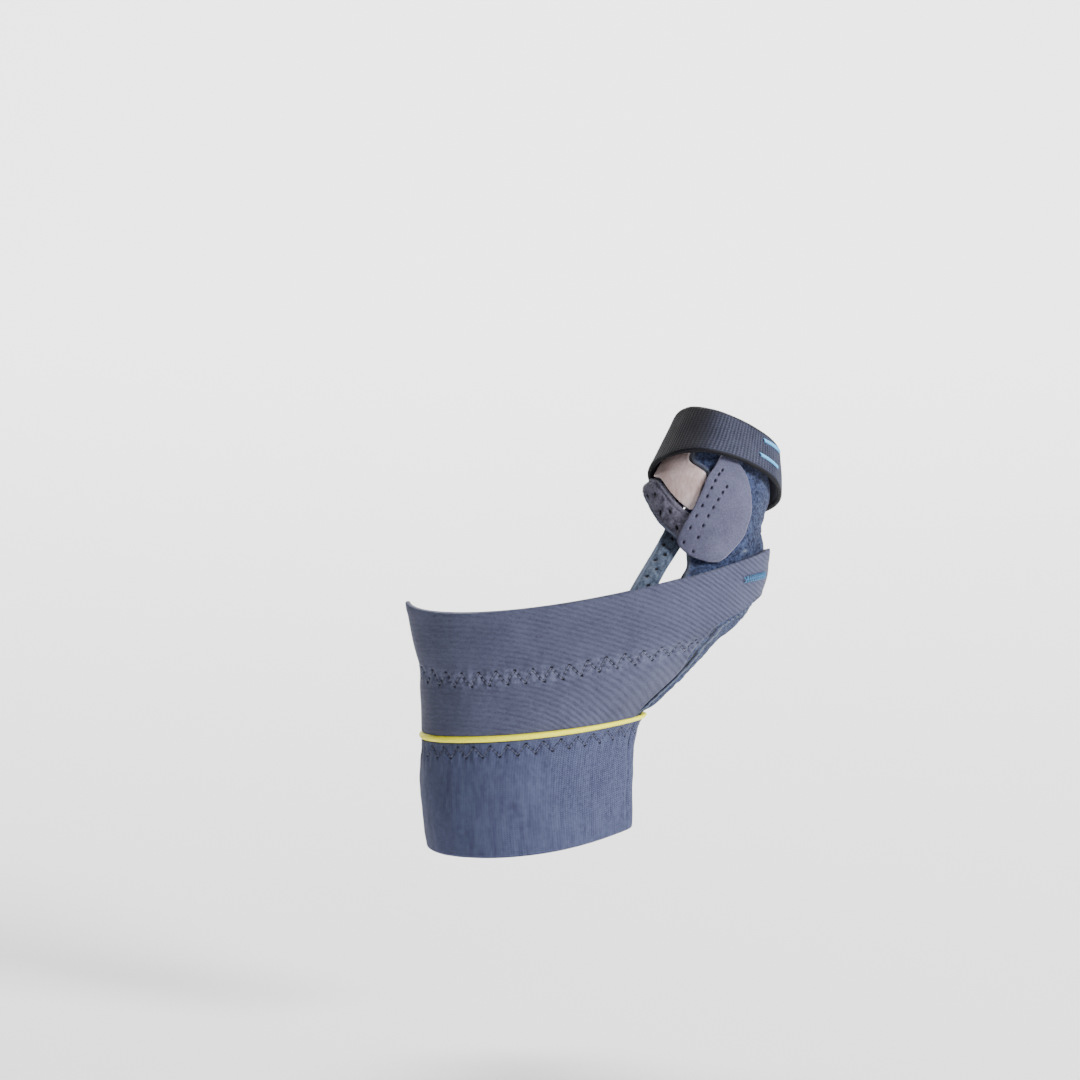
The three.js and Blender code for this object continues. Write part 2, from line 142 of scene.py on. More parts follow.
def smooth(places, values, at):
    """The smooth line through a list of values: in each span a cubic that leaves and arrives
    with the slopes that the neighbouring values give. Values may be points of any size."""
    places, values = np.asarray(places, float), np.asarray(values, float)
    at = np.clip(at, places[0], places[-1])
    k = np.clip(np.searchsorted(places, at) - 1, 0, len(places) - 2)
    before = np.maximum(np.arange(len(places)) - 1, 0)
    after = np.minimum(np.arange(len(places)) + 1, len(places) - 1)
    shape = (-1,) + (1,) * (values.ndim - 1)
    slope = (values[after] - values[before]) / (places[after] - places[before]).reshape(shape)
    span = places[k + 1] - places[k]
    f = (at - places[k]) / span
    rise, leave, arrive = f * f * (3 - 2 * f), f * (1 - f) ** 2 * span, f * f * (1 - f) * span
    if values.ndim > 1:
        rise, leave, arrive = (w.reshape(w.shape + shape[1:]) for w in (rise, leave, arrive))
    return values[k] * (1 - rise) + values[k + 1] * rise + leave * slope[k] - arrive * slope[k + 1]


def column(rows, index, at):
    """One column of a table of rows, read on the smooth line through the rows by height."""
    table = np.array(rows, float)
    return smooth(table[:, 0], table[:, index], at)


def sleeve_form():
    """The form of the cuff and the strap: for each section its middle, half sizes, slopes, sag
    and pinch, from the tables' shares, with the strap's heights counted from the piping's ends."""
    rows = [dict(zip(CUFF_COLUMNS, row)) for row in CUFF_SECTIONS + STRAP_SECTIONS]
    seam = rows[len(CUFF_SECTIONS) - 1]
    form = {key: [] for key in ("x", "y", "z", "halfX", "halfY", "across", "lean", "dip", "pinch")}
    for number, row in enumerate(rows):
        on_strap = number >= len(CUFF_SECTIONS)
        height, depth = (STRAP_HEIGHT, STRAP_DEPTH) if on_strap else (CUFF_HEIGHT, WRIST_DEPTH)
        base = CUFF_HEIGHT if on_strap else 0
        left = -row["left"] * WRIST_WIDTH
        right = WRIST_WIDTH / 2 + row["reach"] * (THUMB_REACH - WRIST_WIDTH / 2)
        left_z = base * seam["leftUp"] + row["leftUp"] * height
        right_z = base * seam["rightUp"] + row["rightUp"] * height
        middle_z = (left_z + right_z) / 2
        values = ((left + right) / 2, -middle_z * math.tan(math.radians(LEAN)), middle_z,
                  (right - left) / 2, row["depth"] * depth / 2,
                  (right_z - left_z) / (right - left), row["lean"], row["dip"] * depth,
                  row["pinch"])
        for key, value in zip(form, values):
            form[key].append(value)
    return form


def thumb_form(sleeve):
    """The form of the pieces above the strap, set out from the strap's highest corner."""
    top = {key: values[-1] for key, values in sleeve.items()}
    corner_z = top["z"] + top["across"] * top["halfX"]
    rows = [dict(zip(THUMB_COLUMNS, row)) for row in THUMB_SECTIONS]
    none = [0.0] * len(rows)
    return {
        "x": [THUMB_REACH - row["inset"] * THUMB_WIDTH for row in rows],
        "y": [top["y"] + row["behind"] * THUMB_DEPTH for row in rows],
        "z": [corner_z + row["rise"] * THUMB_HEIGHT for row in rows],
        "halfX": [row["half"] * THUMB_WIDTH for row in rows],
        "halfY": [row["depth"] * THUMB_DEPTH for row in rows],
        "across": [row["across"] for row in rows],
        "lean": [row["lean"] for row in rows],
        "dip": none,
        "pinch": none,
    }


SLEEVE = sleeve_form()
THUMB = thumb_form(SLEEVE)


def on_form(form, angle, up, out=0.0):
    """Points of a form: the oval section at a height, stepped out along its own normal, then
    sheared by the section's slopes and lowered on both faces by its sag."""
    angle, up, out = np.broadcast_arrays(np.asarray(angle, float), up, out)
    s = {key: smooth(np.arange(len(values)), values, up) for key, values in form.items()}
    turn = np.radians(angle)
    near = (1 + np.cos(turn)) / 2
    pinched = 1 - s["pinch"] * near ** 4
    along_x = -s["halfX"] * np.sin(turn)
    along_y = s["halfY"] * (np.cos(turn) * pinched + 2 * s["pinch"] * near ** 3 * np.sin(turn) ** 2)
    length = np.hypot(along_x, along_y)
    x = s["halfX"] * np.cos(turn) + out * along_y / length
    y = s["halfY"] * np.sin(turn) * pinched - out * along_x / length
    sag = (np.hypot(np.sin(turn), SOFT_DIP) - SOFT_DIP) * (1 - (1 - THUMB_SIDE_DIP) * near ** 2)
    z = s["z"] + s["across"] * x + s["lean"] * y - s["dip"] * sag
    return np.stack([s["x"] + x, s["y"] + y, z], -1)


def raised(form, angle, up, distance):
    """The height that lies a number of millimetres up the form's face from another height."""
    step = 0.01
    apart = on_form(form, angle, up + step) - on_form(form, angle, up - step)
    return up + distance * 2 * step / np.linalg.norm(apart, axis=-1)


def to_frame(points):
    """Millimetres square to the view, turned by the lean to the frame's upright metres."""
    c, s = math.cos(math.radians(LEAN)), math.sin(math.radians(LEAN))
    x, y, z = np.moveaxis(np.asarray(points, float), -1, 0)
    return np.stack([x, y * c + z * s, z * c - y * s], -1) * MM


# Walls of cloth

RIM_STEPS = 4


def rim_shares(length, step, rim, fine=None):
    """Shares from 0 to 1 along a length: even steps, closer ones that follow a quarter round
    over the rim at each end, and finer ones between two lengths where fine gives them."""
    turn = np.linspace(0, np.pi / 2, RIM_STEPS + 1)[:-1]
    start = rim * (1 - np.cos(turn))
    stops = [(rim, step), (length - rim, step)]
    if fine:
        low, high, fine_step = fine
        stops = [(rim, step), (low, fine_step), (high, step), (length - rim, step)]
    spans = [np.linspace(low, high, max(round((high - low) / step), 1) + 1)[:-1]
             for (low, step), (high, _) in zip(stops, stops[1:])]
    return np.concatenate([start, *spans, [length - rim], length - start[::-1]]) / length


def bell(x, width):
    """1 at 0, falling off to both sides over a width."""
    return np.exp(-(x / width) ** 2)


def wrapped(angle):
    """An angle in degrees from -180 to 180."""
    return (angle + 180) % 360 - 180


def crumple(points, size, seed):
    """Soft unevenness from -1 to 1: waves of about one size in many directions, added up."""
    rng = np.random.default_rng(seed)
    way = rng.normal(size=(12, 3))
    way /= np.linalg.norm(way, axis=1)[:, None]
    pitch = size * rng.uniform(0.7, 1.6, 12)
    phase = rng.uniform(0, 2 * np.pi, 12)
    waves = np.sin(points @ way.T * (2 * np.pi / pitch) + phase)
    return waves.sum(-1) / 4


def along_and_across(grid, axis):
    """Lengths added up along one way of a grid of points."""
    steps = np.linalg.norm(np.diff(grid, axis=axis), axis=-1)
    total = np.cumsum(steps, axis=axis)
    pad = [(1, 0), (0, 0)] if axis == 0 else [(0, 0), (1, 0)]
    return np.pad(total, pad)


class Wall:
    """A wall as two grids of points, its face and its lining, in millimetres. u and v are the
    lengths along and across the face. The two meet at the rims in a half round."""

    def __init__(self, face, lining, rim, closed=False):
        self.face, self.lining, self.closed = face, lining, closed
        looped = np.concatenate([face, face[:1]]) if closed else face
        self.u = along_and_across(looped, 0)
        self.v = along_and_across(looped, 1)
        self.length = self.u[-1].mean()
        self.width = self.v[:, -1]
        self.share = self.u / self.u[-1]
        self.from_edge = np.minimum(self.v, self.width[:, None] - self.v)[:len(face)]
        self.full = self.quarter_round(self.from_edge / rim)
        if not closed:
            self.from_end = np.minimum(self.u, self.u[-1] - self.u)
            self.full = self.full * self.quarter_round(self.from_end / rim)
        self.relief = np.zeros(face.shape[:2])
        self.marks, self.face_marks = {}, {}
        self.maps = {"weave": np.stack([self.share * self.length, self.v], -1)}

    @staticmethod
    def quarter_round(depth):
        """A quarter of a circle, 0 at the rim's edge and 1 at its depth and past it."""
        return np.sqrt(1 - (1 - np.clip(depth, 0, 1)) ** 2)

    def normals(self, grid):
        """Unit normals of a grid, on the face's side: the cross of its two slopes."""
        looped = np.concatenate([grid[-1:], grid, grid[:1]]) if self.closed else grid
        along = np.gradient(looped, axis=0)
        along = along[1:-1] if self.closed else along
        normal = np.cross(along, np.gradient(grid, axis=1))
        normal /= np.linalg.norm(normal, axis=-1)[..., None] + 1e-12
        side = np.sign((normal * (self.face - self.lining)).sum(-1))
        return normal * np.median(side)

    def outer(self):
        """The finished face: the middle of the wall, half its thickness and the relief."""
        middle, half = (self.face + self.lining) / 2, (self.face - self.lining) / 2
        raised_by = self.normals(self.face) * (self.relief * self.full)[..., None]
        return middle + half * self.full[..., None] + raised_by

    def at(self, i, v, lift=0.0):
        """Points of the finished face and its normals at rows of the grid, whole or between
        two, and lengths across, read between the four nearest points."""
        outer = self.outer()
        normal = self.normals(outer)
        if self.closed:
            outer, normal = (np.concatenate([grid, grid[:1]]) for grid in (outer, normal))
        i, v, lift = np.broadcast_arrays(np.asarray(i, float), v, lift)
        i0 = np.minimum(i.astype(int), len(outer) - 2)
        fi = (i - i0)[..., None]
        lines = self.v[i0] * (1 - fi) + self.v[i0 + 1] * fi
        j0 = np.clip((lines <= v[..., None]).sum(-1) - 1, 0, outer.shape[1] - 2)
        low, high = (np.take_along_axis(lines, j[..., None], -1) for j in (j0, j0 + 1))
        fj = (v[..., None] - low) / (high - low)

        def read(grid):
            near = grid[i0, j0] * (1 - fj) + grid[i0, j0 + 1] * fj
            far = grid[i0 + 1, j0] * (1 - fj) + grid[i0 + 1, j0 + 1] * fj
            return near * (1 - fi) + far * fi

        normal = read(normal)
        normal /= np.linalg.norm(normal, axis=-1)[..., None]
        return read(outer) + normal * lift[..., None], normal

    def piece(self, name, finish, slot):
        """The closed mesh: the face's quads, and the lining's turned round, with shared rims."""
        outer = self.outer()
        inner = (self.face + self.lining) / 2 - (self.face - self.lining) / 2 * self.full[..., None]
        top = np.arange(outer[..., 0].size).reshape(outer.shape[:2])
        under = top + top.size
        under[:, [0, -1]] = top[:, [0, -1]]
        if not self.closed:
            under[[0, -1]] = top[[0, -1]]
        faces, corners = [], {name: [] for name in self.maps}
        for numbers, backwards in ((top, False), (under, True)):
            if self.closed:
                numbers = np.concatenate([numbers, numbers[:1]])
            faces.append(quads(numbers, backwards))
            for key, grid in self.maps.items():
                corners[key].append(quads(grid, backwards))
        marks = {key: np.tile(value.ravel(), 2) for key, value in self.marks.items()}
        for key, value in self.face_marks.items():
            marks[key] = np.concatenate([value.ravel(), np.zeros(value.size)])
        points = np.concatenate([outer.reshape(-1, 3), inner.reshape(-1, 3)])
        maps = {key: np.concatenate(value).reshape(-1, 2) for key, value in corners.items()}
        return finished(name, points, [np.concatenate(faces)], finish, maps, marks)


def quads(grid, backwards=False):
    """The four corners of each cell of a grid, in turn."""
    cells = [grid[:-1, :-1], grid[1:, :-1], grid[1:, 1:], grid[:-1, 1:]]
    return np.stack(cells[::-1] if backwards else cells, 2).reshape(-1, 4, *grid.shape[2:])


def signed_volume(points, faces):
    """Six times the volume inside closed faces, from fans of triangles."""
    total = 0.0
    for block in faces:
        first = points[block[:, 0]]
        for k in range(1, block.shape[1] - 1):
            total += (first * np.cross(points[block[:, k]], points[block[:, k + 1]])).sum()
    return total


def finished(name, points, faces, finish, maps=None, marks=None):
    """A piece in the frame, with its finish, faces turned outwards, and its maps and marks."""
    maps, marks = maps or {}, marks or {}
    faces = [block.reshape(len(block), -1) for block in faces]
    corners = np.concatenate([block.ravel() for block in faces])
    used, numbers = np.unique(corners, return_inverse=True)
    ends = np.cumsum([block.size for block in faces])[:-1]
    faces = [part.reshape(block.shape) for part, block in zip(np.split(numbers, ends), faces)]
    points = points[used]
    if signed_volume(points - points.mean(0), faces) < 0:
        faces = [block[:, ::-1] for block in faces]
        count = faces[0].shape[1]
        maps = {key: value.reshape(-1, count, 2)[:, ::-1].reshape(-1, 2)
                for key, value in maps.items()}
    mesh = bpy.data.meshes.new(name)
    rows = [row for block in faces for row in block.tolist()]
    mesh.from_pydata(to_frame(points).tolist(), [], rows)
    for key, value in maps.items():
        mesh.uv_layers.new(name=key).data.foreach_set("uv", value.astype(np.float32).ravel())
    for key, value in marks.items():
        layer = mesh.attributes.new(key, "FLOAT", "POINT")
        layer.data.foreach_set("value", value[used].astype(np.float32))
    mesh.polygons.foreach_set("use_smooth", np.ones(len(mesh.polygons), bool))
    mesh.materials.append(finish)
    mesh.update()
    piece = bpy.data.objects.new(name, mesh)
    bpy.context.scene.collection.objects.link(piece)
    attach(piece, "root")
    return piece


def threads(name, paths, normals, radius, sides, finish):
    """Round threads: a ring of points carried along each path, square to it, with flat ends."""
    along = np.gradient(paths, axis=1)
    side = np.cross(along, normals)
    side /= np.linalg.norm(side, axis=-1)[..., None]
    over = np.cross(side, along)
    over /= np.linalg.norm(over, axis=-1)[..., None]
    turn = np.arange(sides) * 2 * np.pi / sides
    ring = over[:, :, None] * np.cos(turn)[:, None] + side[:, :, None] * np.sin(turn)[:, None]
    points = paths[:, :, None] + ring * radius
    numbers = np.arange(points[..., 0].size).reshape(points.shape[:3])
    looped = np.concatenate([numbers, numbers[:, :, :1]], 2)
    cells = [looped[:, :-1, :-1], looped[:, 1:, :-1], looped[:, 1:, 1:], looped[:, :-1, 1:]]
    walls = np.stack(cells, -1).reshape(-1, 4)
    caps = np.concatenate([numbers[:, 0], numbers[:, -1, ::-1]])
    return finished(name, points.reshape(-1, 3), [walls, caps], finish)


# Seams

STITCHES_A_WAVE = 6
CROSS_STITCHES_A_WAVE = 2
CUFF_ZIGZAG = {"period": 5.4, "swing": 1.4}
STRAP_ZIGZAG = {"period": 5.6, "swing": 1.9}
STITCH_RISE = 0.14
STITCH_SUNK = 0.04
NEEDLE = 0.5
TURNING_HOLE = 1.15
FLANK_HOLE = 0.8


def zigzag(u, period, swing):
    """A wave of straight flanks along a seam."""
    return swing * (4 * np.abs((u / period) % 1 - 0.5) - 1)


def needle_holes(u, w, period, swing, radius=NEEDLE, stitches=STITCHES_A_WAVE):
    """Round dips where the needle went in: the stitches' ends on the zigzag, wider where it
    turns, seen from the nearest one along the seam. w is the distance across from its middle."""
    stitch = period / stitches
    near = np.round(u / stitch) * stitch
    apart = (u - near) ** 2 + (w - zigzag(near, period, swing)) ** 2
    turning = np.abs((2 * near / period + 0.5) % 1 - 0.5) < 0.01
    pull = 0.88 + 0.12 * np.sin(near * 2.3)
    return pull * np.exp(-apart / (radius * np.where(turning, TURNING_HOLE, FLANK_HOLE)) ** 2)


def fitted(length, period):
    """The period nearest to a given one that divides a length evenly."""
    return length / round(length / period)


class Seam:
    """A seam along a wall: its height across each row, its own length, and how far the rows
    lean against it, so that its zigzag stands square to it."""

    def __init__(self, wall, seam_at):
        self.wall, self.seam_at = wall, seam_at
        self.rows = np.arange(len(seam_at))
        face = np.concatenate([wall.face, wall.face[:1]]) if wall.closed else wall.face
        columns = np.clip((wall.v < seam_at[:, None]).sum(1), 1, face.shape[1] - 1)
        low, high = face[self.rows, columns - 1], face[self.rows, columns]
        low_v, high_v = wall.v[self.rows, columns - 1], wall.v[self.rows, columns]
        share = (seam_at - low_v) / (high_v - low_v)
        line = low + (high - low) * share[:, None]
        across = (high - low) / np.linalg.norm(high - low, axis=1)[:, None]
        self.u = np.concatenate([[0], np.cumsum(np.linalg.norm(np.diff(line, axis=0), axis=1))])
        along = np.gradient(line, axis=0)
        along /= np.linalg.norm(along, axis=1)[:, None]
        self.lean = (across * along).sum(1)
        self.upright = np.sqrt(1 - self.lean ** 2)
        self.length = self.u[-1]

    def lengths(self):
        """Lengths along and across the seam for each point of the wall."""
        apart = self.wall.v - self.seam_at[:, None]
        count = len(self.wall.face)
        u = self.u[:, None] + apart * self.lean[:, None]
        return u[:count], (apart * self.upright[:, None])[:count]

    def place(self, u, w):
        """The row and the length across it of a point given along and across the seam."""
        i = np.interp(u, self.u, self.rows)
        step = w / np.interp(i, self.rows, self.upright)
        i = np.interp(u - step * np.interp(i, self.rows, self.lean), self.u, self.rows)
        return i, np.interp(i, self.rows, self.seam_at) + step

    def threads(self, name, start, end, period, swing, radius, finish, slot):
        """The zigzag's stitches: each one a thread that rises between two needle holes."""
        stitch = period / STITCHES_A_WAVE
        first = np.arange(math.ceil(start / stitch), math.floor(end / stitch)) * stitch
        share = np.linspace(0.08, 0.92, 6)
        level = zigzag(first, period, swing)[:, None]
        rise = zigzag(first + stitch, period, swing)[:, None] - level
        lift = STITCH_RISE * (4 * share * (1 - share)) ** 0.5 - STITCH_SUNK
        i, v = self.place(first[:, None] + share * stitch, level + rise * share)
        paths, normals = self.wall.at(i, v, lift)
        threads(name, paths, normals, radius, 5, finish)


def carried(rows, form_of_row, outs, across):
    """Grids through a table of rows, one for each distance out: each row's points lie between
    its two edges on its form."""
    return [np.stack([form_of_row(row, across, out) for row in rows]) for out in outs]


def through(grids, step, rim):
    """Finer grids on the smooth lines through rows of points, spaced by their real distance."""
    middles = np.mean([grid.mean(1) for grid in grids[:2]], 0)
    places = np.concatenate([[0], np.cumsum(np.linalg.norm(np.diff(middles, axis=0), axis=1))])
    at = rim_shares(places[-1], step, rim) * places[-1]
    return [smooth(places, grid, at) for grid in grids]


def between_edges(form):
    """A row's points on a form, straight between its lower and its upper edge."""
    def points(row, across, out):
        low_angle, low_up, high_angle, high_up = row
        return on_form(form, low_angle + (high_angle - low_angle) * across,
                       low_up + (high_up - low_up) * across, out)
    return points


# Finishes

def dye(red, green, blue):
    """A colour given as it looks on a screen, in bytes, as the light that it gives back."""
    shares = np.array([red, green, blue], float) / 255
    light = np.where(shares > 0.04045, ((shares + 0.055) / 1.055) ** 2.4, shares / 12.92)
    return (*light.tolist(), 1.0)


class Value:
    """A value socket that takes part in arithmetic: each operator adds one Math node."""

    def __init__(self, finish, socket):
        self.finish, self.socket = finish, socket

    def _math(self, operation, *others):
        return self.finish.node("ShaderNodeMath", {"operation": operation}, dict(enumerate(others)))

    def __add__(self, other):
        return self._math("ADD", self, other)

    def __radd__(self, other):
        return self._math("ADD", other, self)

    def __sub__(self, other):
        return self._math("SUBTRACT", self, other)

    def __mul__(self, other):
        return self._math("MULTIPLY", self, other)

    def sine(self):
        return self._math("SINE", self)

    def over(self, low, high):
        """0 below low, 1 above high, and a soft step between."""
        settings = {"interpolation_type": "SMOOTHSTEP"}
        ends = {"Value": self, "From Min": low, "From Max": high}
        return self.finish.node("ShaderNodeMapRange", settings, ends)


class Finish:
    """A material of one Principled shader, with the nodes that vary it."""

    def __init__(self, name, **constants):
        self.material = bpy.data.materials.new(name)
        self.material.use_nodes = True
        self.nodes, self.links = self.material.node_tree.nodes, self.material.node_tree.links
        self.shader = self.nodes["Principled BSDF"]
        for key, value in constants.items():
            label = key.replace("_", " ").title().replace("Ior", "IOR")
            self.shader.inputs[label].default_value = value

    def node(self, kind, settings=None, sockets=None, output=0):
        """Any node: its settings first, then the values or links of its sockets."""
        node = self.nodes.new(kind)
        for key, value in (settings or {}).items():
            setattr(node, key, value)
        for key, value in (sockets or {}).items():
            if isinstance(value, Value):
                self.links.new(value.socket, node.inputs[key])
            else:
                node.inputs[key].default_value = value
        return Value(self, node.outputs[output])

    def map_place(self, name="weave"):
        """The place on one of the piece's maps, in millimetres."""
        return self.node("ShaderNodeUVMap", {"uv_map": name})

    def along_across(self, name="weave"):
        """The two lengths of one of the piece's maps."""
        split = self.node("ShaderNodeSeparateXYZ", None, {0: self.map_place(name)}).socket.node
        return Value(self, split.outputs[0]), Value(self, split.outputs[1])

    def mark(self, name):
        """A share that the piece keeps at each point of its mesh."""
        return self.node("ShaderNodeAttribute", {"attribute_name": name}, output="Fac")

    def object_place(self):
        return self.node("ShaderNodeTexCoord", output="Object")

    def noise(self, size, detail=2.0, roughness=0.6, place=None, stretch=None):
        """Noise from 0 to 1 with lumps of one size in millimetres, drawn out by a stretch."""
        place = place or self.object_place()
        scale = np.array(stretch or (1, 1, 1), float) / (size * MM)
        place = self.node("ShaderNodeMapping", None, {"Vector": place, "Scale": tuple(scale)})
        sockets = {"Vector": place, "Scale": 1.0, "Detail": detail, "Roughness": roughness}
        return self.node("ShaderNodeTexNoise", None, sockets)

    def cells(self, size):
        """The distance to the middle of the nearest of many scattered cells of one size."""
        sockets = {"Vector": self.object_place(), "Scale": 1 / (size * MM)}
        return self.node("ShaderNodeTexVoronoi", {"feature": "F1"}, sockets, "Distance")

    def between(self, share, low, high):
        """A colour between two others."""
        sockets = {0: share, 6: low, 7: high}
        return self.node("ShaderNodeMix", {"data_type": "RGBA"}, sockets, 2)

    def done(self, color, height, depth, roughness=None):
        """Links the colour, and a bump whose height of 1 stands for a depth in millimetres."""
        sockets = {"Height": height, "Distance": depth * MM, "Strength": 1.0}
        bump = self.node("ShaderNodeBump", None, sockets)
        self.links.new(color.socket, self.shader.inputs["Base Color"])
        self.links.new(bump.socket, self.shader.inputs["Normal"])
        if roughness is not None:
            self.links.new(roughness.socket, self.shader.inputs["Roughness"])
        return self.material


TURN = 2 * math.pi
CLOTH_GLOSS = 0.2
CUFF_COLUMN_PITCH = 0.82
CUFF_ROW_PITCH = 0.66
RIB_PITCH = 1.55


def cloth(name, roughness, sheen=0.08, sheen_roughness=0.5):
    """A cloth's finish: rough, with little gloss and a faint sheen."""
    return Finish(name, roughness=roughness, specular_ior_level=CLOTH_GLOSS, sheen_weight=sheen,
                  sheen_roughness=sheen_roughness)


def cuff_elastic():
    """Fine upright columns of stitches on navy elastic, half a stitch apart from each other."""
    finish = cloth("cuff_elastic", 0.78, sheen_roughness=0.4)
    u, v = finish.along_across()
    column_wave = (u * (TURN / CUFF_COLUMN_PITCH)).sine()
    row_wave = (v * (TURN / CUFF_ROW_PITCH) + column_wave * 1.5).sine()
    grain = finish.noise(0.9, 3)
    cloudy = finish.noise(9, 2)
    streaks = finish.noise(1.0, 2, 0.6, finish.map_place(), (0.0005, 0.00008, 1))
    loops = column_wave * 0.11 + row_wave * 0.2 + grain * 0.9
    light = (loops + cloudy * 0.15 + streaks * 0.5).over(0.2, 1.35)
    needle = finish.mark("needle").over(0.12, 0.6)
    color = finish.between(light, dye(28, 30, 53), dye(82, 89, 120))
    color = finish.between(needle, color, dye(8, 8, 20))
    return finish.done(color, loops - needle, 0.12)


def strap_elastic():
    """Fine ribs on grey violet elastic, clearest where it is taut, broken by the threads that
    cross them, and mottled by the seam's loops."""
    finish = cloth("strap_elastic", 0.72, 0.06, 0.4)
    across = finish.along_across("ribs")[1]
    wander = finish.noise(5, 2)
    rib = (across * (TURN / RIB_PITCH) + wander * 1.6).sine()
    broken = finish.noise(1.0, 2, 0.6, finish.map_place("ribs"), (0.0006, 0.0014, 1))
    fine = finish.noise(0.45, 3, 0.7)
    cloudy = finish.noise(12, 2)
    seam = finish.mark("seam")
    loops = seam * (finish.noise(1.3, 3, 0.75) - 0.42)
    relief = rib * (finish.mark("taut") * 0.15 + 0.04) + broken * 0.6 + fine * 0.7
    light = (relief + cloudy * 0.5 + loops * 2.6).over(0.25, 1.6)
    needle = finish.mark("needle").over(0.15, 0.65)
    color = finish.between(light, dye(46, 47, 66), dye(84, 88, 112))
    color = finish.between(needle, color, dye(10, 10, 20))
    return finish.done(color, relief + loops - needle, 0.14)


def piping_cord():
    """Smooth yellow cord cover with a faint slanting weave."""
    finish = Finish("piping_cord", roughness=0.5, sheen_weight=0.1)
    u, v = finish.along_across()
    slant = ((u * 2 + v * 2) * (TURN / 1.4)).sine()
    grain = finish.noise(0.5, 2)
    light = (slant * 0.12 + grain).over(0.2, 0.8)
    color = finish.between(light, dye(238, 228, 2), dye(255, 252, 24))
    return finish.done(color, slant * 0.4 + grain, 0.08)


def loop_pile():
    """Short blue loops that stand up from the cloth: light tips over dark pores."""
    finish = cloth("loop_pile", 0.95)
    pores = finish.cells(0.9)
    fuzz = finish.noise(0.8, 5, 0.8)
    patches = finish.noise(2.6, 2)
    tips = fuzz * 1.2 + pores * 0.35
    light = (tips + patches * 0.7).over(0.8, 1.6)
    color = finish.between(light, dye(20, 24, 48), dye(72, 86, 124))
    for mark in ("edge", "line"):
        color = finish.between(finish.mark(mark), color, dye(112, 120, 136))
    # painted shadow: the slot beside the strap's edge is coloured near black as the shade in the
    # gap
    color = finish.between(finish.mark("slot").over(0.2, 0.7), color, dye(8, 9, 16))
    return finish.done(color, tips, 0.5)


def padded_binding(name, dark, pale, rim):
    """Knitted cover of the padded bands, with needle holes and a paler bound edge."""
    finish = cloth(name, 0.85)
    fuzz = finish.noise(0.6, 4, 0.7)
    patches = finish.noise(1.9, 2)
    light = (fuzz + patches * 0.8).over(0.55, 1.2)
    needle = finish.mark("needle").over(0.15, 0.7)
    color = finish.between(light, dark, pale)
    color = finish.between(finish.mark("edge"), color, rim)
    color = finish.between(needle, color, dye(10, 12, 22))
    return finish.done(color, fuzz - needle, 0.3)


def tab_microfibre():
    """Matt brushed microfibre, paler where its edge was heat sealed."""
    finish = cloth("tab_microfibre", 0.82)
    nap = finish.noise(0.45, 4, 0.7)
    brushed = finish.noise(5, 2, 0.5)
    light = (nap * 0.9 + brushed * 0.4).over(0.3, 0.95)
    needle = finish.mark("needle").over(0.15, 0.6)
    color = finish.between(light, dye(62, 62, 82), dye(92, 93, 116))
    color = finish.between(finish.mark("edge"), color, dye(116, 114, 132))
    color = finish.between(needle, color, dye(22, 22, 40))
    return finish.done(color, nap - needle * 2, 0.1)


def ring_webbing():
    """Ribbed webbing in a shaded and a lit copy of its colour: painted shade before the bend,
    painted light past it, and a near black edge. The ribs are in the mesh, and the yarns that
    cross them are drawn here."""
    finish = cloth("ring_webbing", 0.66, 0.04, 0.4)
    u, v = finish.along_across()
    yarn = (v * (TURN / 0.8) + (u * (TURN / 2)).sine() * 0.8).sine()
    fine = finish.noise(0.4, 3)
    cloudy = finish.noise(6, 2)
    rib = finish.mark("rib")
    light = (rib * 0.24 + yarn * 0.06 + fine * 0.6 + cloudy * 0.3).over(0.2, 1.15)
    # painted shade and painted light: the dark colours stand for the webbing's shaded face, the
    # pale ones for its lit face
    dark = finish.between(light, dye(5, 4, 9), dye(31, 28, 41))
    pale = finish.between(light, dye(16, 17, 30), dye(84, 88, 112))
    color = finish.between(finish.mark("worn"), dark, pale)
    # near black rims: the woven edge's own dark tone, and painted shade on the rim and inside of
    # the ring
    color = finish.between(finish.mark("edge"), color, dye(9, 9, 16))
    return finish.done(color, yarn * 0.2 + fine, 0.1)


def satin_plate():
    """Thin grey metal with a satin brushed along its length; its darker colour is tinted warm pink
    as a painted reflection of skin.
    """
    finish = Finish("stay_metal", metallic=0.3, specular_ior_level=0.6)
    brushed = finish.noise(1.2, 3, 0.6, None, (2.4, 2.4, 0.12))
    cloudy = finish.noise(9, 1)
    light = (brushed * 0.7 + cloudy * 0.5).over(0.25, 0.95)
    # the warm pink of the darker colour is a painted reflection of skin; the paler colour is the
    # metal's own grey
    color = finish.between(light, dye(176, 144, 136), dye(222, 208, 210))
    return finish.done(color, brushed, 0.04, 0.34 + brushed * 0.2)


def thread(name, low, high):
    """Twisted sewing thread."""
    finish = Finish(name, roughness=0.5, sheen_weight=0.2)
    twist = finish.noise(0.3, 2)
    color = finish.between(twist.over(0.3, 0.7), low, high)
    return finish.done(color, twist, 0.05)


# Pieces

CUFF_STITCH_DROP = 3.1
SIDE_SEAM_TOP = 9.0
SIDE_SEAM_AT = -19
ZIGZAG_ZONE = 6.5
PIPING_TUCK = 0.1


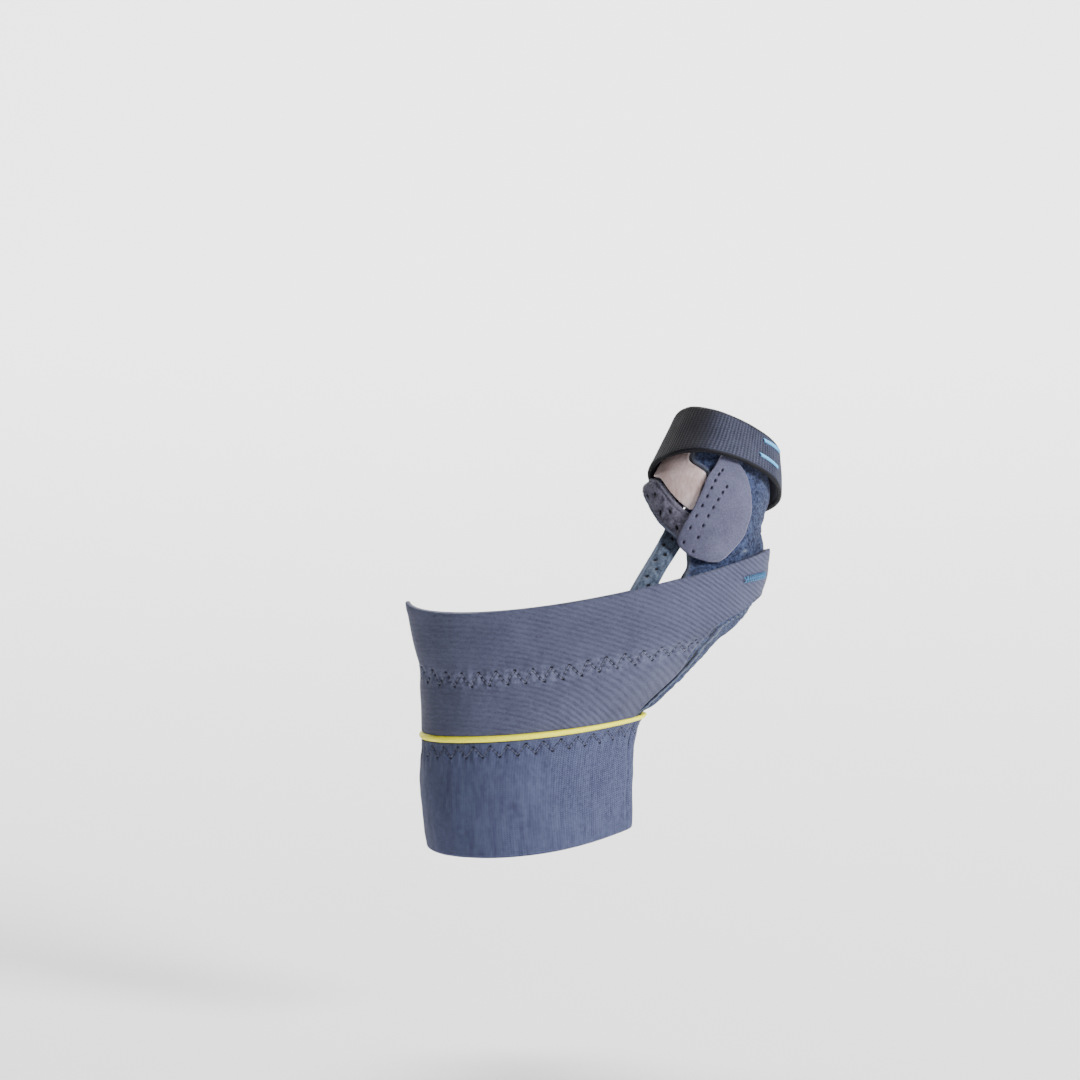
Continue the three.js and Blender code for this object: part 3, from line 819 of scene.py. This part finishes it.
def wrist_cuff(finish, thread_finish):
    """The elastic cuff: a ring of columns from the hem to the piping, drawn in along the
    zigzag seam below the piping and along the side seam."""
    count = 450
    angle = np.arange(count) * 360 / count
    top = raised(SLEEVE, angle, PIPING_LEVEL, PIPING_TUCK - PIPING / 2)
    height = CUFF_HEIGHT
    rim = CUFF_WALL / 2
    share = rim_shares(height, 1.2, rim, (height - ZIGZAG_ZONE, height - rim - 0.2, 0.36))
    up = CUFF_HEM + (top[:, None] - CUFF_HEM) * share
    grids = [on_form(SLEEVE, angle[:, None], up, out) for out in (0.0, -CUFF_WALL)]
    wall = Wall(*grids, rim, closed=True)
    seam = Seam(wall, wall.width - CUFF_STITCH_DROP)
    u, from_seam = seam.lengths()
    period, swing = fitted(seam.length, CUFF_ZIGZAG["period"]), CUFF_ZIGZAG["swing"]
    needle = needle_holes(u, from_seam, period, swing)
    drawn_in = bell(from_seam, 2.6)
    puckers = np.cos(u * 2 * TURN / period) * bell(from_seam + 1, 4)
    from_side_seam = wrapped(angle - SIDE_SEAM_AT)
    upward = 0.35 + 0.65 * wall.v[:count] / height
    side_seam = 0.45 * bell(from_side_seam, 1.6)[:, None] * upward
    soft = 0.22 * crumple(grids[0], 17, 3) + 0.08 * crumple(grids[0], 6, 4)
    wall.relief = soft - 0.3 * drawn_in + 0.12 * puckers - 0.42 * needle - side_seam
    turned_in = np.clip((wall.v[:count] - height + SIDE_SEAM_TOP) / 2, 0, 1)
    side_line = turned_in * bell(from_side_seam, 1.1)[:, None] * 0.45
    wall.marks["needle"] = np.maximum(needle, side_line)
    cuff = wall.piece("wrist_cuff_elastic", finish, "cuff_elastic")
    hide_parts("wrist_cuff")
    seam.threads("wrist_cuff_zigzag", 0, seam.length, period, swing, 0.16, thread_finish,
                 "cuff_elastic")


PIPING_STRAND = {"rise": 0.025, "waves": 150}


def cuff_piping(finish):
    """The cord in the seam: a circle carried round the form, faintly twisted."""
    count, sides = 620, 18
    angle = (np.arange(count + 1) * 360 / count)[:, None]
    turn = (np.arange(sides + 1) * TURN / sides)[None]
    strand = 1 + PIPING_STRAND["rise"] * np.sin(
        np.radians(angle) * PIPING_STRAND["waves"] + turn * 2)
    radius = PIPING / 2 * strand
    up = raised(SLEEVE, angle, PIPING_LEVEL, radius * np.sin(turn))
    points = on_form(SLEEVE, angle, up, radius * np.cos(turn) - PIPING / 4)
    numbers = np.arange(count * sides).reshape(count, sides)
    looped = np.pad(numbers, ((0, 1), (0, 1)), "wrap")
    u = along_and_across(points, 0).mean(1, keepdims=True) + 0 * turn
    maps = {"weave": quads(np.stack([u, turn * PIPING / 2 + 0 * u], -1)).reshape(-1, 2)}
    cord = finished("cuff_piping_cord", points[:-1, :-1].reshape(-1, 3), [quads(looped)], finish,
                    maps)
    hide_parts("cuff_piping")


STRAP_SEAM = [  # degrees from the saddle's side, and the seam's height in sections
    (0, 3.38), (48, 3.33), (65, 3.27), (80, 3.22), (95, 3.11), (117, 3.08), (136, 3.03),
    (157, 3.05), (180, 3.06),
]
STRAP_RUN = 245
TIP_ROUND = 3.0
TIP_MM_A_DEGREE = 0.5
TIP_MM_A_SECTION = 12.0
HEM_RISE = [  # degrees from the saddle's side, and millimetres
    (-125, 0), (-90, 1.0), (-60, 2.1), (-40, 2.2), (-24, 1.7), (-15, 1.5), (-9, 0.6), (-3, -1.2),
    (4, -2.0), (20, -2.2),
]
SIDE_SWELL = {"height": 0.75, "degrees": 38, "at": 4.65, "over": 0.3}
DRAWN_BACK = [(2.6, 0.5, 3.2), (4.17, 0.13, 8.5)]  # at, over, degrees


def soft_ramp(x, start, over):
    """0 before the start, then a line of slope 1, with a soft turn between."""
    return over * np.log1p(np.exp((x - start) / over))


def rib_heights(x, z, seam_z):
    """The height that each rib has at its level end: ribs are lines of one height there, turn
    down past the middle, again at the tip, and fan out below the seam."""
    turned = 0.28 * soft_ramp(x, -6, 8) + 0.55 * soft_ramp(x, 48, 6)
    fanned = 0.45 * np.tanh(0.03 * soft_ramp(x, 9, 5) / 0.45) * soft_ramp(seam_z - z, 0, 2.5)
    return z + turned + fanned


def hem_rise(angle):
    """How much higher the hem runs than its level, with a rounded crest at the saddle."""
    degrees = np.arange(-125, 21)
    return np.interp(angle, degrees, column(HEM_RISE, 1, degrees))


def side_swell(angle, up):
    """How far the strap's tip swells out over the saddle: a bell round and one upwards."""
    round_it = bell(wrapped(angle), SIDE_SWELL["degrees"])
    return SIDE_SWELL["height"] * round_it * bell(up - SIDE_SWELL["at"], SIDE_SWELL["over"])


def palm_strap(finish, thread_finish):
    """The ribbed strap from its sewn end round the far side to its tip. Its ribs run level
    there and turn down towards the tip, as the stretched cloth does."""
    rim = STRAP_WALL / 2
    across = np.unique(np.concatenate([
        np.linspace(2, 2.07, 4), np.linspace(2.07, 2.75, 9), np.linspace(2.75, 3.6, 34),
        np.linspace(3.6, 4.7, 20), np.linspace(4.7, 4.95, 6), np.linspace(4.95, 5, 4)]))
    along = rim_shares(STRAP_RUN, 0.52, rim)
    from_hem = np.clip((STRAP_HEM - across) * TIP_MM_A_SECTION, 0, TIP_ROUND)
    rounded = TIP_ROUND - np.sqrt(TIP_ROUND ** 2 - (TIP_ROUND - from_hem) ** 2)
    sewn = column(STRAP_ENDS, 2, across)
    drawn_back = sum(degrees * bell(across - at, over) for at, over, degrees in DRAWN_BACK)
    tip = column(STRAP_ENDS, 1, across) + 360 - rounded / TIP_MM_A_DEGREE - drawn_back
    angle = sewn + (tip - sewn) * along[:, None]
    middle_angle = angle[:, angle.shape[1] // 2]
    lowest = raised(SLEEVE, angle, PIPING_LEVEL, PIPING / 2 - 0.1)
    up = np.maximum(across, lowest + (across - PIPING_LEVEL) * 0.5)
    swell = side_swell(angle, up) * np.clip((angle - 180) / 90, 0, 1)
    up = up + hem_rise(angle - 360) / TIP_MM_A_SECTION * np.clip((up - 4) / (STRAP_HEM - 4), 0, 1)
    grids = [on_form(SLEEVE, angle, up, swell + out) for out in (0.0, -STRAP_WALL)]
    wall = Wall(*grids, rim)
    from_side = np.abs(180 - np.abs(middle_angle - 180))
    seam_up = column(STRAP_SEAM, 1, from_side)
    seam_at = np.array([np.interp(*row) for row in zip(seam_up, up, wall.v)])
    seam_z = on_form(SLEEVE, middle_angle, seam_up)[:, None, 2]
    seam = Seam(wall, seam_at)
    u, from_seam = seam.lengths()
    period, swing = STRAP_ZIGZAG["period"], STRAP_ZIGZAG["swing"]
    needle = needle_holes(u, from_seam, period, swing)
    drawn_in = bell(from_seam, 3.4)
    puffs = np.cos(u * TURN / period * 2 + 0.8) * bell(from_seam, 2.4)
    puckers = crumple(grids[0] * (1.6, 1, 0.8), 7, 11) * bell(from_seam, 7)
    soft = 0.22 * crumple(grids[0], 30, 12) + 0.07 * crumple(grids[0], 9, 13)
    hem = 0.16 * bell(wall.width[:, None] - wall.v - 2.2, 1.6)
    fold = 0.15 * bell(wall.u[-1] - wall.u - 1.2, 0.8)
    wall.relief = soft - 0.32 * drawn_in + 0.16 * puffs + 0.13 * puckers - 0.5 * needle + hem + fold
    x, z = grids[0][..., 0], grids[0][..., 2]
    steep = rib_heights(x + 0.5, z, seam_z) - rib_heights(x - 0.5, z, seam_z)
    wall.marks["needle"] = needle
    wall.marks["seam"] = np.exp(-(from_seam / 2.8) ** 4)
    wall.marks["taut"] = np.minimum(steep / 0.7, 1)
    wall.maps["ribs"] = np.stack([x, rib_heights(x, z, seam_z)], -1)
    strap = wall.piece("palm_strap_elastic", finish, "strap_elastic")
    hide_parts("palm_strap")
    seam.threads("palm_strap_zigzag", 3, seam.length - 3, period, swing, 0.12, thread_finish,
                 "strap_elastic")
    end_stitches("palm_strap_sewn_end", wall, thread_finish)


END_STITCH = {"from_end": 2.4, "pitch": 2.9, "share": 0.8, "sunk": 0.06}


def end_stitches(name, wall, finish):
    """A row of straight stitches across the strap, beside its sewn end."""
    row = np.interp(END_STITCH["from_end"], wall.u.mean(1), np.arange(len(wall.u)))
    width = np.interp(row, np.arange(len(wall.u)), wall.width)
    first = np.arange(2.5, width - 4, END_STITCH["pitch"])
    share = np.linspace(0, 1, 7)
    v = first[:, None] + share * END_STITCH["pitch"] * END_STITCH["share"]
    lift = STITCH_RISE * (4 * share * (1 - share)) ** 0.5 - END_STITCH["sunk"]
    paths, normals = wall.at(np.full(v.shape, row), v, lift)
    threads(name, paths, normals, 0.18, 6, finish)


SADDLE_MM_A_DEGREE = 0.45
OUT_OF_REACH = 30.0
SLOT_ENDS_UP = 3.05
SLOT = {"past": 3.0, "over": 0.8, "depth": 0.5}
CORD_LINE = {"past": 4.4, "over": 0.38, "height": 0.25}


def saddle_row(row, across, out):
    """A row of the saddle: on the sleeve's form inside the strap, standing proud between the
    strap's two ends, and on the upper form above it, higher at the side than on its faces."""
    if row[0] == "strap":
        _, up, palm, back, proud = row
        angle = palm + (back - palm) * across
        end = np.where(angle < 0, column(STRAP_ENDS, 1, up), column(STRAP_ENDS, 2, up))
        share = np.minimum(np.abs(angle / end), 1) if proud else 1
        stands = proud * SADDLE_WALL * (1 - share ** 2) ** 2
        return on_form(SLEEVE, angle, up, SADDLE_IN_SLEEVE + stands + out)
    _, up, side_up, palm, back = row
    angle = palm + (back - palm) * across
    side = ((1 + np.cos(np.radians(angle))) / 2) ** 3
    return on_form(THUMB, angle, up + (side_up - up) * side, out)


def past_strap(row, across):
    """How far a row of the saddle lies past the strap's tip edge, in millimetres along the
    form; rows above the strap are out of its reach."""
    if row[0] == "thumb":
        return np.full((len(across), 1), OUT_OF_REACH)
    _, up, palm, back, _ = row
    angle = palm + (back - palm) * across
    return ((angle - column(STRAP_ENDS, 1, up)) * SADDLE_MM_A_DEGREE)[:, None]


def slot_share(row, across):
    """1 on the rows of the saddle that the open slot crosses, and 0 on the others."""
    return np.full((len(across), 1), float(row[0] == "strap" and row[1] < SLOT_ENDS_UP))


def thumb_saddle(finish):
    """The padded saddle of loop pile, with a bound edge along both sides, and a slot and a cord
    line where it comes out past the strap's slanting edge. The slot is also painted near black
    as shadow, darkest on its lower rows."""
    rows = [("strap", *row) for row in SADDLE_IN_STRAP]
    rows += [("thumb", *row) for row in SADDLE_ON_THUMB]
    rim = SADDLE_WALL / 2
    across = rim_shares(58, 0.5, rim)
    grids = carried(rows, saddle_row, (0.0, -SADDLE_WALL), across)
    past = np.stack([past_strap(row, across) for row in rows])
    low = np.stack([slot_share(row, across) for row in rows])
    face, lining, past, low = through([*grids, past, low], 0.52, rim)
    past, low = past[..., 0], low[..., 0]
    wall = Wall(face, lining, rim)
    from_edge = wall.from_edge
    binding = bell(from_edge - 1.1, 0.5)
    groove = bell(from_edge - 2.4, 0.45)
    pile = 0.1 * crumple(face, 1.7, 21) + 0.12 * crumple(face, 3.1, 22)
    soft = 0.25 * crumple(face, 14, 23)
    # the slot dips the face and is also painted near black as shadow, more on the lower rows
    slot = (0.55 + 0.45 * low) * bell(past - SLOT["past"], SLOT["over"])
    line = bell(past - CORD_LINE["past"], CORD_LINE["over"])
    wall.relief = (pile + soft) * np.clip(from_edge / 3, 0, 1) + 0.22 * binding - 0.28 * groove
    wall.relief += CORD_LINE["height"] * line - SLOT["depth"] * slot
    wall.marks["edge"] = np.clip(1.6 - from_edge, 0, 1) * 0.7
    wall.face_marks["line"] = 0.9 * line
    # painted shadow in the slot
    wall.face_marks["slot"] = slot
    saddle = wall.piece("thumb_saddle_pile", finish, "loop_pile")
    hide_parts("thumb_saddle")


def edged(table, outs, columns, step, rim):
    """A face and a lining through a table of edges on the upper form."""
    across = rim_shares(columns, step, rim)
    return through(carried(table, between_edges(THUMB), outs, across), step, rim)


def bound_band(name, node, face, lining, wall_thick, finish, holes, swing, border=0.0):
    """A narrow padded band: swollen between its edges, with crossed needle holes, a pale cord
    line along its first edge, and a plain border of some width along it where one is given."""
    wall = Wall(face, lining, wall_thick / 2)
    middle = wall.width[:, None] / 2
    u = wall.share * wall.length
    period = fitted(wall.length, holes)
    needle = needle_holes(u, wall.v - middle, period, swing, 0.6, CROSS_STITCHES_A_WAVE)
    swell = 0.35 * np.cos((wall.v / middle - 1) * np.pi / 2)
    groove = bell(wall.from_edge - 1.5, 0.35)
    wall.relief = swell - 0.3 * groove - 0.5 * needle + 0.12 * crumple(face, 2.2, 31)
    wall.marks["needle"] = needle
    cord = bell(wall.v - 0.8, 0.35)
    plain = np.clip((border - wall.v) * 3, 0, 1) if border else 0
    wall.marks["edge"] = np.maximum(cord, plain) * 0.85
    band = wall.piece(name, finish, "padded_binding")
    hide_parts(node)


def thenar_band(finish):
    """The band from under the web band down inside the strap."""
    across = rim_shares(8, 0.3, BAND_WALL / 2)
    grids = []
    for depth in (0.0, -BAND_WALL):
        low = [between_edges(SLEEVE)(row, across, THENAR_IN_SLEEVE + depth)
               for row in THENAR_IN_STRAP]
        high = [between_edges(THUMB)(row, across, BELOW_BAND + depth) for row in THENAR_ON_THUMB]
        grids.append(np.stack(low + high))
    face, lining = through(grids, 0.3, BAND_WALL / 2)
    bound_band("thenar_band_padded", "thenar_band", face, lining, BAND_WALL, finish, 6.3, 0.9, 1.6)


def web_band(finish):
    """The band round the open side of the upper form."""
    face, lining = edged(WEB_BAND, (0.0, -BAND_WALL), 12, 0.3, BAND_WALL / 2)
    bound_band("web_band_padded", "web_band", face, lining, BAND_WALL, finish, 7.2, 1.3)


def stay_plate(finish):
    """The thin satin plate in the window between the saddle and the web band."""
    rim = PLATE_WALL / 2
    face, lining = edged(PLATE, (0.0, -PLATE_WALL), 16, 0.5, rim)
    wall = Wall(face, lining, rim)
    wall.relief = 0.05 * crumple(face, 12, 41)
    plate = wall.piece("stay_plate_satin", finish, "stay_metal")
    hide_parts("stay_plate")


TAB_HOLES = [  # a row's two ends as angle and up, degrees that its middle bows, its holes
    (-77.6, 3.45, -113.7, 0.8, 6.5, 9),
    (-71.4, 2.57, -104.6, 0.62, 1.7, 8),
]


def strap_tab(finish):
    """The D of microfibre over the web band's end, with two rows of needle holes."""
    rim = TAB_WALL / 2
    outs = (LAYER_GAP + TAB_WALL, LAYER_GAP)
    face, lining = edged(TAB, outs, 18, 0.28, rim)
    wall = Wall(face, lining, rim)
    needle = np.zeros(face.shape[:2])
    for start_angle, start_up, end_angle, end_up, bow, count in TAB_HOLES:
        share = np.linspace(0, 1, count)
        angle = start_angle + (end_angle - start_angle) * share + bow * 4 * share * (1 - share)
        places = on_form(THUMB, angle, start_up + (end_up - start_up) * share, outs[0])
        run = (places[-1] - places[0]) / np.linalg.norm(places[-1] - places[0])
        for place in places:
            apart = face - place
            lengthwise = apart @ run
            crosswise = np.linalg.norm(apart, axis=-1) ** 2 - lengthwise ** 2
            needle = np.maximum(needle, np.exp(-(lengthwise / 0.58) ** 2 - crosswise / 0.32 ** 2))
    wall.relief = 0.08 * crumple(face, 8, 51) - 0.5 * needle
    wall.marks["needle"] = needle
    wall.marks["edge"] = np.clip(1 - np.minimum(wall.from_edge, wall.from_end) / 0.7, 0, 1)
    tab = wall.piece("strap_tab_microfibre", finish, "tab_microfibre")
    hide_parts("strap_tab")


RING_RIB = 1.12
RING_BEND = {"at": -97, "degrees": 44, "height": 1.7}
RING_PEAK = {"at": -140, "degrees": 38, "height": 2.0}
BARS = [  # a bar's two ends on the ring, as angle and up
    ((-46, 4.8), (-16, 4.9)),
    ((-49, 4.42), (-24, 4.45)),
]
BAR = {"pitch": 0.26, "lean": -1.2, "rise": 0.031, "swell": 0.32, "radius": 0.17}


def ring_lift(angle):
    """How far the ring stands off the saddle, most where it passes over the tab, and with a
    bend where the webbing was pressed flat: a roof of two slopes with a soft ridge."""
    from_bend = np.abs(wrapped(angle - RING_BEND["at"])) / RING_BEND["degrees"]
    bend = RING_BEND["height"] * np.clip(1 - np.hypot(from_bend, 0.1), 0, 1)
    return LAYER_GAP + RING_LIFT * (1 + np.cos(np.radians(angle + 45))) / 2 + bend


def thumb_ring(finish):
    """The webbing ring: ribs across its width, a firmer woven edge on both sides, marked dark both
    as its own tone and as painted shade, and a mark for painted light past the bend.
    """
    count = 640
    angle = (np.arange(count) * 360 / count)[:, None]
    rim = RING_WALL / 2
    up = RING_LOW + (RING_HIGH - RING_LOW) * rim_shares(22, 0.7, rim)
    share = (up - RING_LOW) / (RING_HIGH - RING_LOW)
    raised_edge = bell(wrapped(angle - RING_PEAK["at"]), RING_PEAK["degrees"]) * share ** 2
    peak = (0, 0, RING_PEAK["height"]) * raised_edge[..., None]
    grids = [on_form(THUMB, angle, up, ring_lift(angle) + out) + peak for out in (RING_WALL, 0.0)]
    wall = Wall(*grids, rim, closed=True)
    u, v = (grid[:count] for grid in (wall.share * wall.length, wall.v))
    inside = np.clip((wall.from_edge - 0.6) / 0.5, 0, 1)
    sway = 0.12 * crumple(grids[0], 9, 61)
    ribs = np.cos((u + sway) * TURN / fitted(wall.length, RING_RIB))
    wall.relief = 0.06 * ribs * inside + 0.12 * crumple(grids[0], 12, 62)
    wall.marks["rib"] = (0.5 + 0.5 * ribs) * inside
    # painted shade on the rims and inside, together with the woven edge's own dark tone
    wall.marks["edge"] = np.clip(1.5 - wall.from_edge * 1.5, 0, 1)
    # painted light from the bend round to the front, painted shade elsewhere
    past_bend = wrapped(angle - RING_BEND["at"])
    wall.marks["worn"] = 0.5 * (np.tanh(past_bend / 9) - np.tanh((past_bend - 120) / 25)) + 0 * v
    ring = wall.piece("thumb_ring_webbing", finish, "ring_webbing")
    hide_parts("thumb_ring")


def side_by_side(form, start, end, out, pitch, leans, rise):
    """Threads laid side by side from a start to an end on a form, both as angle and up: the
    angles and heights along each, which leans by degrees and rises, and its bow's share."""
    length = np.linalg.norm(on_form(form, *end, out) - on_form(form, *start, out))
    share = ((np.arange(round(length / pitch)) + 0.5) * pitch / length)[:, None]
    reach = np.linspace(-1, 1, 9)
    lean = np.resize(leans, len(share))[:, None]
    angle = start[0] + (end[0] - start[0]) * share + lean * reach
    up = start[1] + (end[1] - start[1]) * share + rise * reach
    return angle, up, np.sqrt(np.clip(1 - reach ** 2, 0, 1))


def satin_bars(finish):
    """Two plain bars of satin stitch on the ring: threads laid side by side across each bar."""
    for number, (start, end) in enumerate(BARS, 1):
        angle, up, bow = side_by_side(THUMB, start, end, 4, BAR["pitch"], BAR["lean"], BAR["rise"])
        base = ring_lift(angle) + RING_WALL
        paths = on_form(THUMB, angle, up, base + (BAR["swell"] * bow + 0.02))
        normals = paths - on_form(THUMB, angle, up, base - 1)
        name = f"thumb_ring_bar_{number}"
        threads(name, paths, normals, BAR["radius"], 6, finish)


TACK_ENDS = ((-30, 4.66), (-13, 4.61))
TACK = {"pitch": 0.42, "leans": (-0.9, 0.9), "rise": 0.05, "swell": 0.42, "radius": 0.15}


def strap_tack(finish):
    """A bar tack at the strap's tip: short threads laid side by side at a slant."""
    angle, up, bow = side_by_side(SLEEVE, *TACK_ENDS, 0, TACK["pitch"], TACK["leans"], TACK["rise"])
    swell = TACK["swell"] * bow + 0.2 + side_swell(angle, up)
    paths = on_form(SLEEVE, angle, up, swell)
    normals = paths - on_form(SLEEVE, angle, up, -1.0)
    threads("palm_strap_tack", paths, normals, TACK["radius"], 6, finish)


# Stage, light and camera

VIEW_MIDDLE = (3.9, 77.4)
VIEW_WIDTH = 324.0
CAMERA_BACK = 2500.0
FLOOR_DROP = 0.06
SPLINT_MIDDLE = (0.004, 0, 0.076)
SWEEP = (4.0, 1.4, 0.9, 4.5)  # in metres: its reach, where it bends, the bend's radius, its top
LAMPS = [  # name, place, size, power, the place that it faces
    ("key_lamp", (1.35, -1.0, 0.85), 0.45, 62, SPLINT_MIDDLE),
    ("front_lamp", (0.5, -1.7, 0.9), 0.7, 7, SPLINT_MIDDLE),
    ("backdrop_lamp", (0.0, 1.5, 1.7), 1.6, 115, (0, 1.5, -0.1)),
]


def studio(lowest):
    """A pale sweep under and behind the splint, soft lamps, and the camera."""
    reach, bend, radius, top = SWEEP
    across = np.linspace(-reach, reach, 3)
    ground, turned = np.linspace(-reach, bend, 4), np.linspace(0, np.pi / 2, 13)[1:]
    y = np.concatenate([ground, bend + radius * np.sin(turned), [bend + radius]])
    z = np.concatenate([0 * ground, radius - radius * np.cos(turned), [top]])
    z += lowest - FLOOR_DROP
    grid = np.stack(np.broadcast_arrays(across, y[:, None], z[:, None]), -1)
    mesh = bpy.data.meshes.new("floor_sweep")
    numbers = np.arange(grid[..., 0].size).reshape(grid.shape[:2])
    mesh.from_pydata(grid.reshape(-1, 3).tolist(), [], quads(numbers, True).tolist())
    mesh.polygons.foreach_set("use_smooth", np.ones(len(mesh.polygons), bool))
    pale = bpy.data.materials.new("floor_pale")
    pale.use_nodes = True
    shader = pale.node_tree.nodes["Principled BSDF"]
    shader.inputs["Base Color"].default_value = (0.9, 0.9, 0.9, 1)
    shader.inputs["Roughness"].default_value = 0.9
    mesh.materials.append(pale)
    floor = bpy.data.objects.new("floor_sweep", mesh)
    bpy.context.scene.collection.objects.link(floor)
    for row in LAMPS:
        lamp(*row)
    world = bpy.data.worlds.new("studio")
    world.use_nodes = True
    sky = world.node_tree.nodes["Background"]
    sky.inputs["Color"].default_value = (1, 1, 1, 1)
    sky.inputs["Strength"].default_value = 0.08
    bpy.context.scene.world = world
    camera = bpy.data.cameras.new("photo_camera")
    camera.sensor_width = 36
    camera.lens = 36 * CAMERA_BACK / VIEW_WIDTH
    camera.clip_end = 20
    stand = bpy.data.objects.new("photo_camera", camera)
    bpy.context.scene.collection.objects.link(stand)
    stand.location = to_frame((VIEW_MIDDLE[0], -CAMERA_BACK, VIEW_MIDDLE[1])).tolist()
    stand.rotation_euler = (math.radians(90 - LEAN), 0, 0)
    bpy.context.scene.camera = stand


def lamp(name, place, size, power, towards):
    """A square soft lamp that faces a place."""
    light = bpy.data.lights.new(name, "AREA")
    light.size, light.energy = size, power
    stand = bpy.data.objects.new(name, light)
    bpy.context.scene.collection.objects.link(stand)
    way = np.subtract(towards, place)
    stand.location = place
    tilt = math.atan2(math.hypot(way[0], way[1]), -way[2])
    stand.rotation_euler = (tilt, 0, math.atan2(-way[0], way[1]))


# Making

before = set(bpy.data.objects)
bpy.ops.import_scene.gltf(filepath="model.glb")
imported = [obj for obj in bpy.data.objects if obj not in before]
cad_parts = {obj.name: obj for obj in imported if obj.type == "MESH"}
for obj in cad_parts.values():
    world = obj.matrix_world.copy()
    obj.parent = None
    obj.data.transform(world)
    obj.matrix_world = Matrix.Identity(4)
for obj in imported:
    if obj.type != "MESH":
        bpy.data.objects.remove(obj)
cad_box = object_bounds()

cuff_thread = thread("cuff_thread", dye(34, 36, 62), dye(80, 88, 118))
strap_thread = thread("strap_thread", dye(58, 60, 82), dye(104, 108, 132))
blue_thread = thread("blue_thread", dye(40, 140, 205), dye(100, 190, 236))
tack_thread = thread("tack_thread", dye(8, 56, 96), dye(40, 124, 176))
pale_band = padded_binding("padded_binding", dye(38, 46, 64), dye(86, 98, 118), dye(84, 94, 112))
dark_band = padded_binding("web_binding", dye(52, 50, 64), dye(108, 106, 124), dye(108, 118, 142))

wrist_cuff(cuff_elastic(), cuff_thread)
cuff_piping(piping_cord())
palm_strap(strap_elastic(), strap_thread)
strap_tack(tack_thread)
thumb_saddle(loop_pile())
thenar_band(pale_band)
web_band(dark_band)
stay_plate(satin_plate())
strap_tab(tab_microfibre())
thumb_ring(ring_webbing())
satin_bars(blue_thread)
studio(min(corner[2] for corner in cad_box))
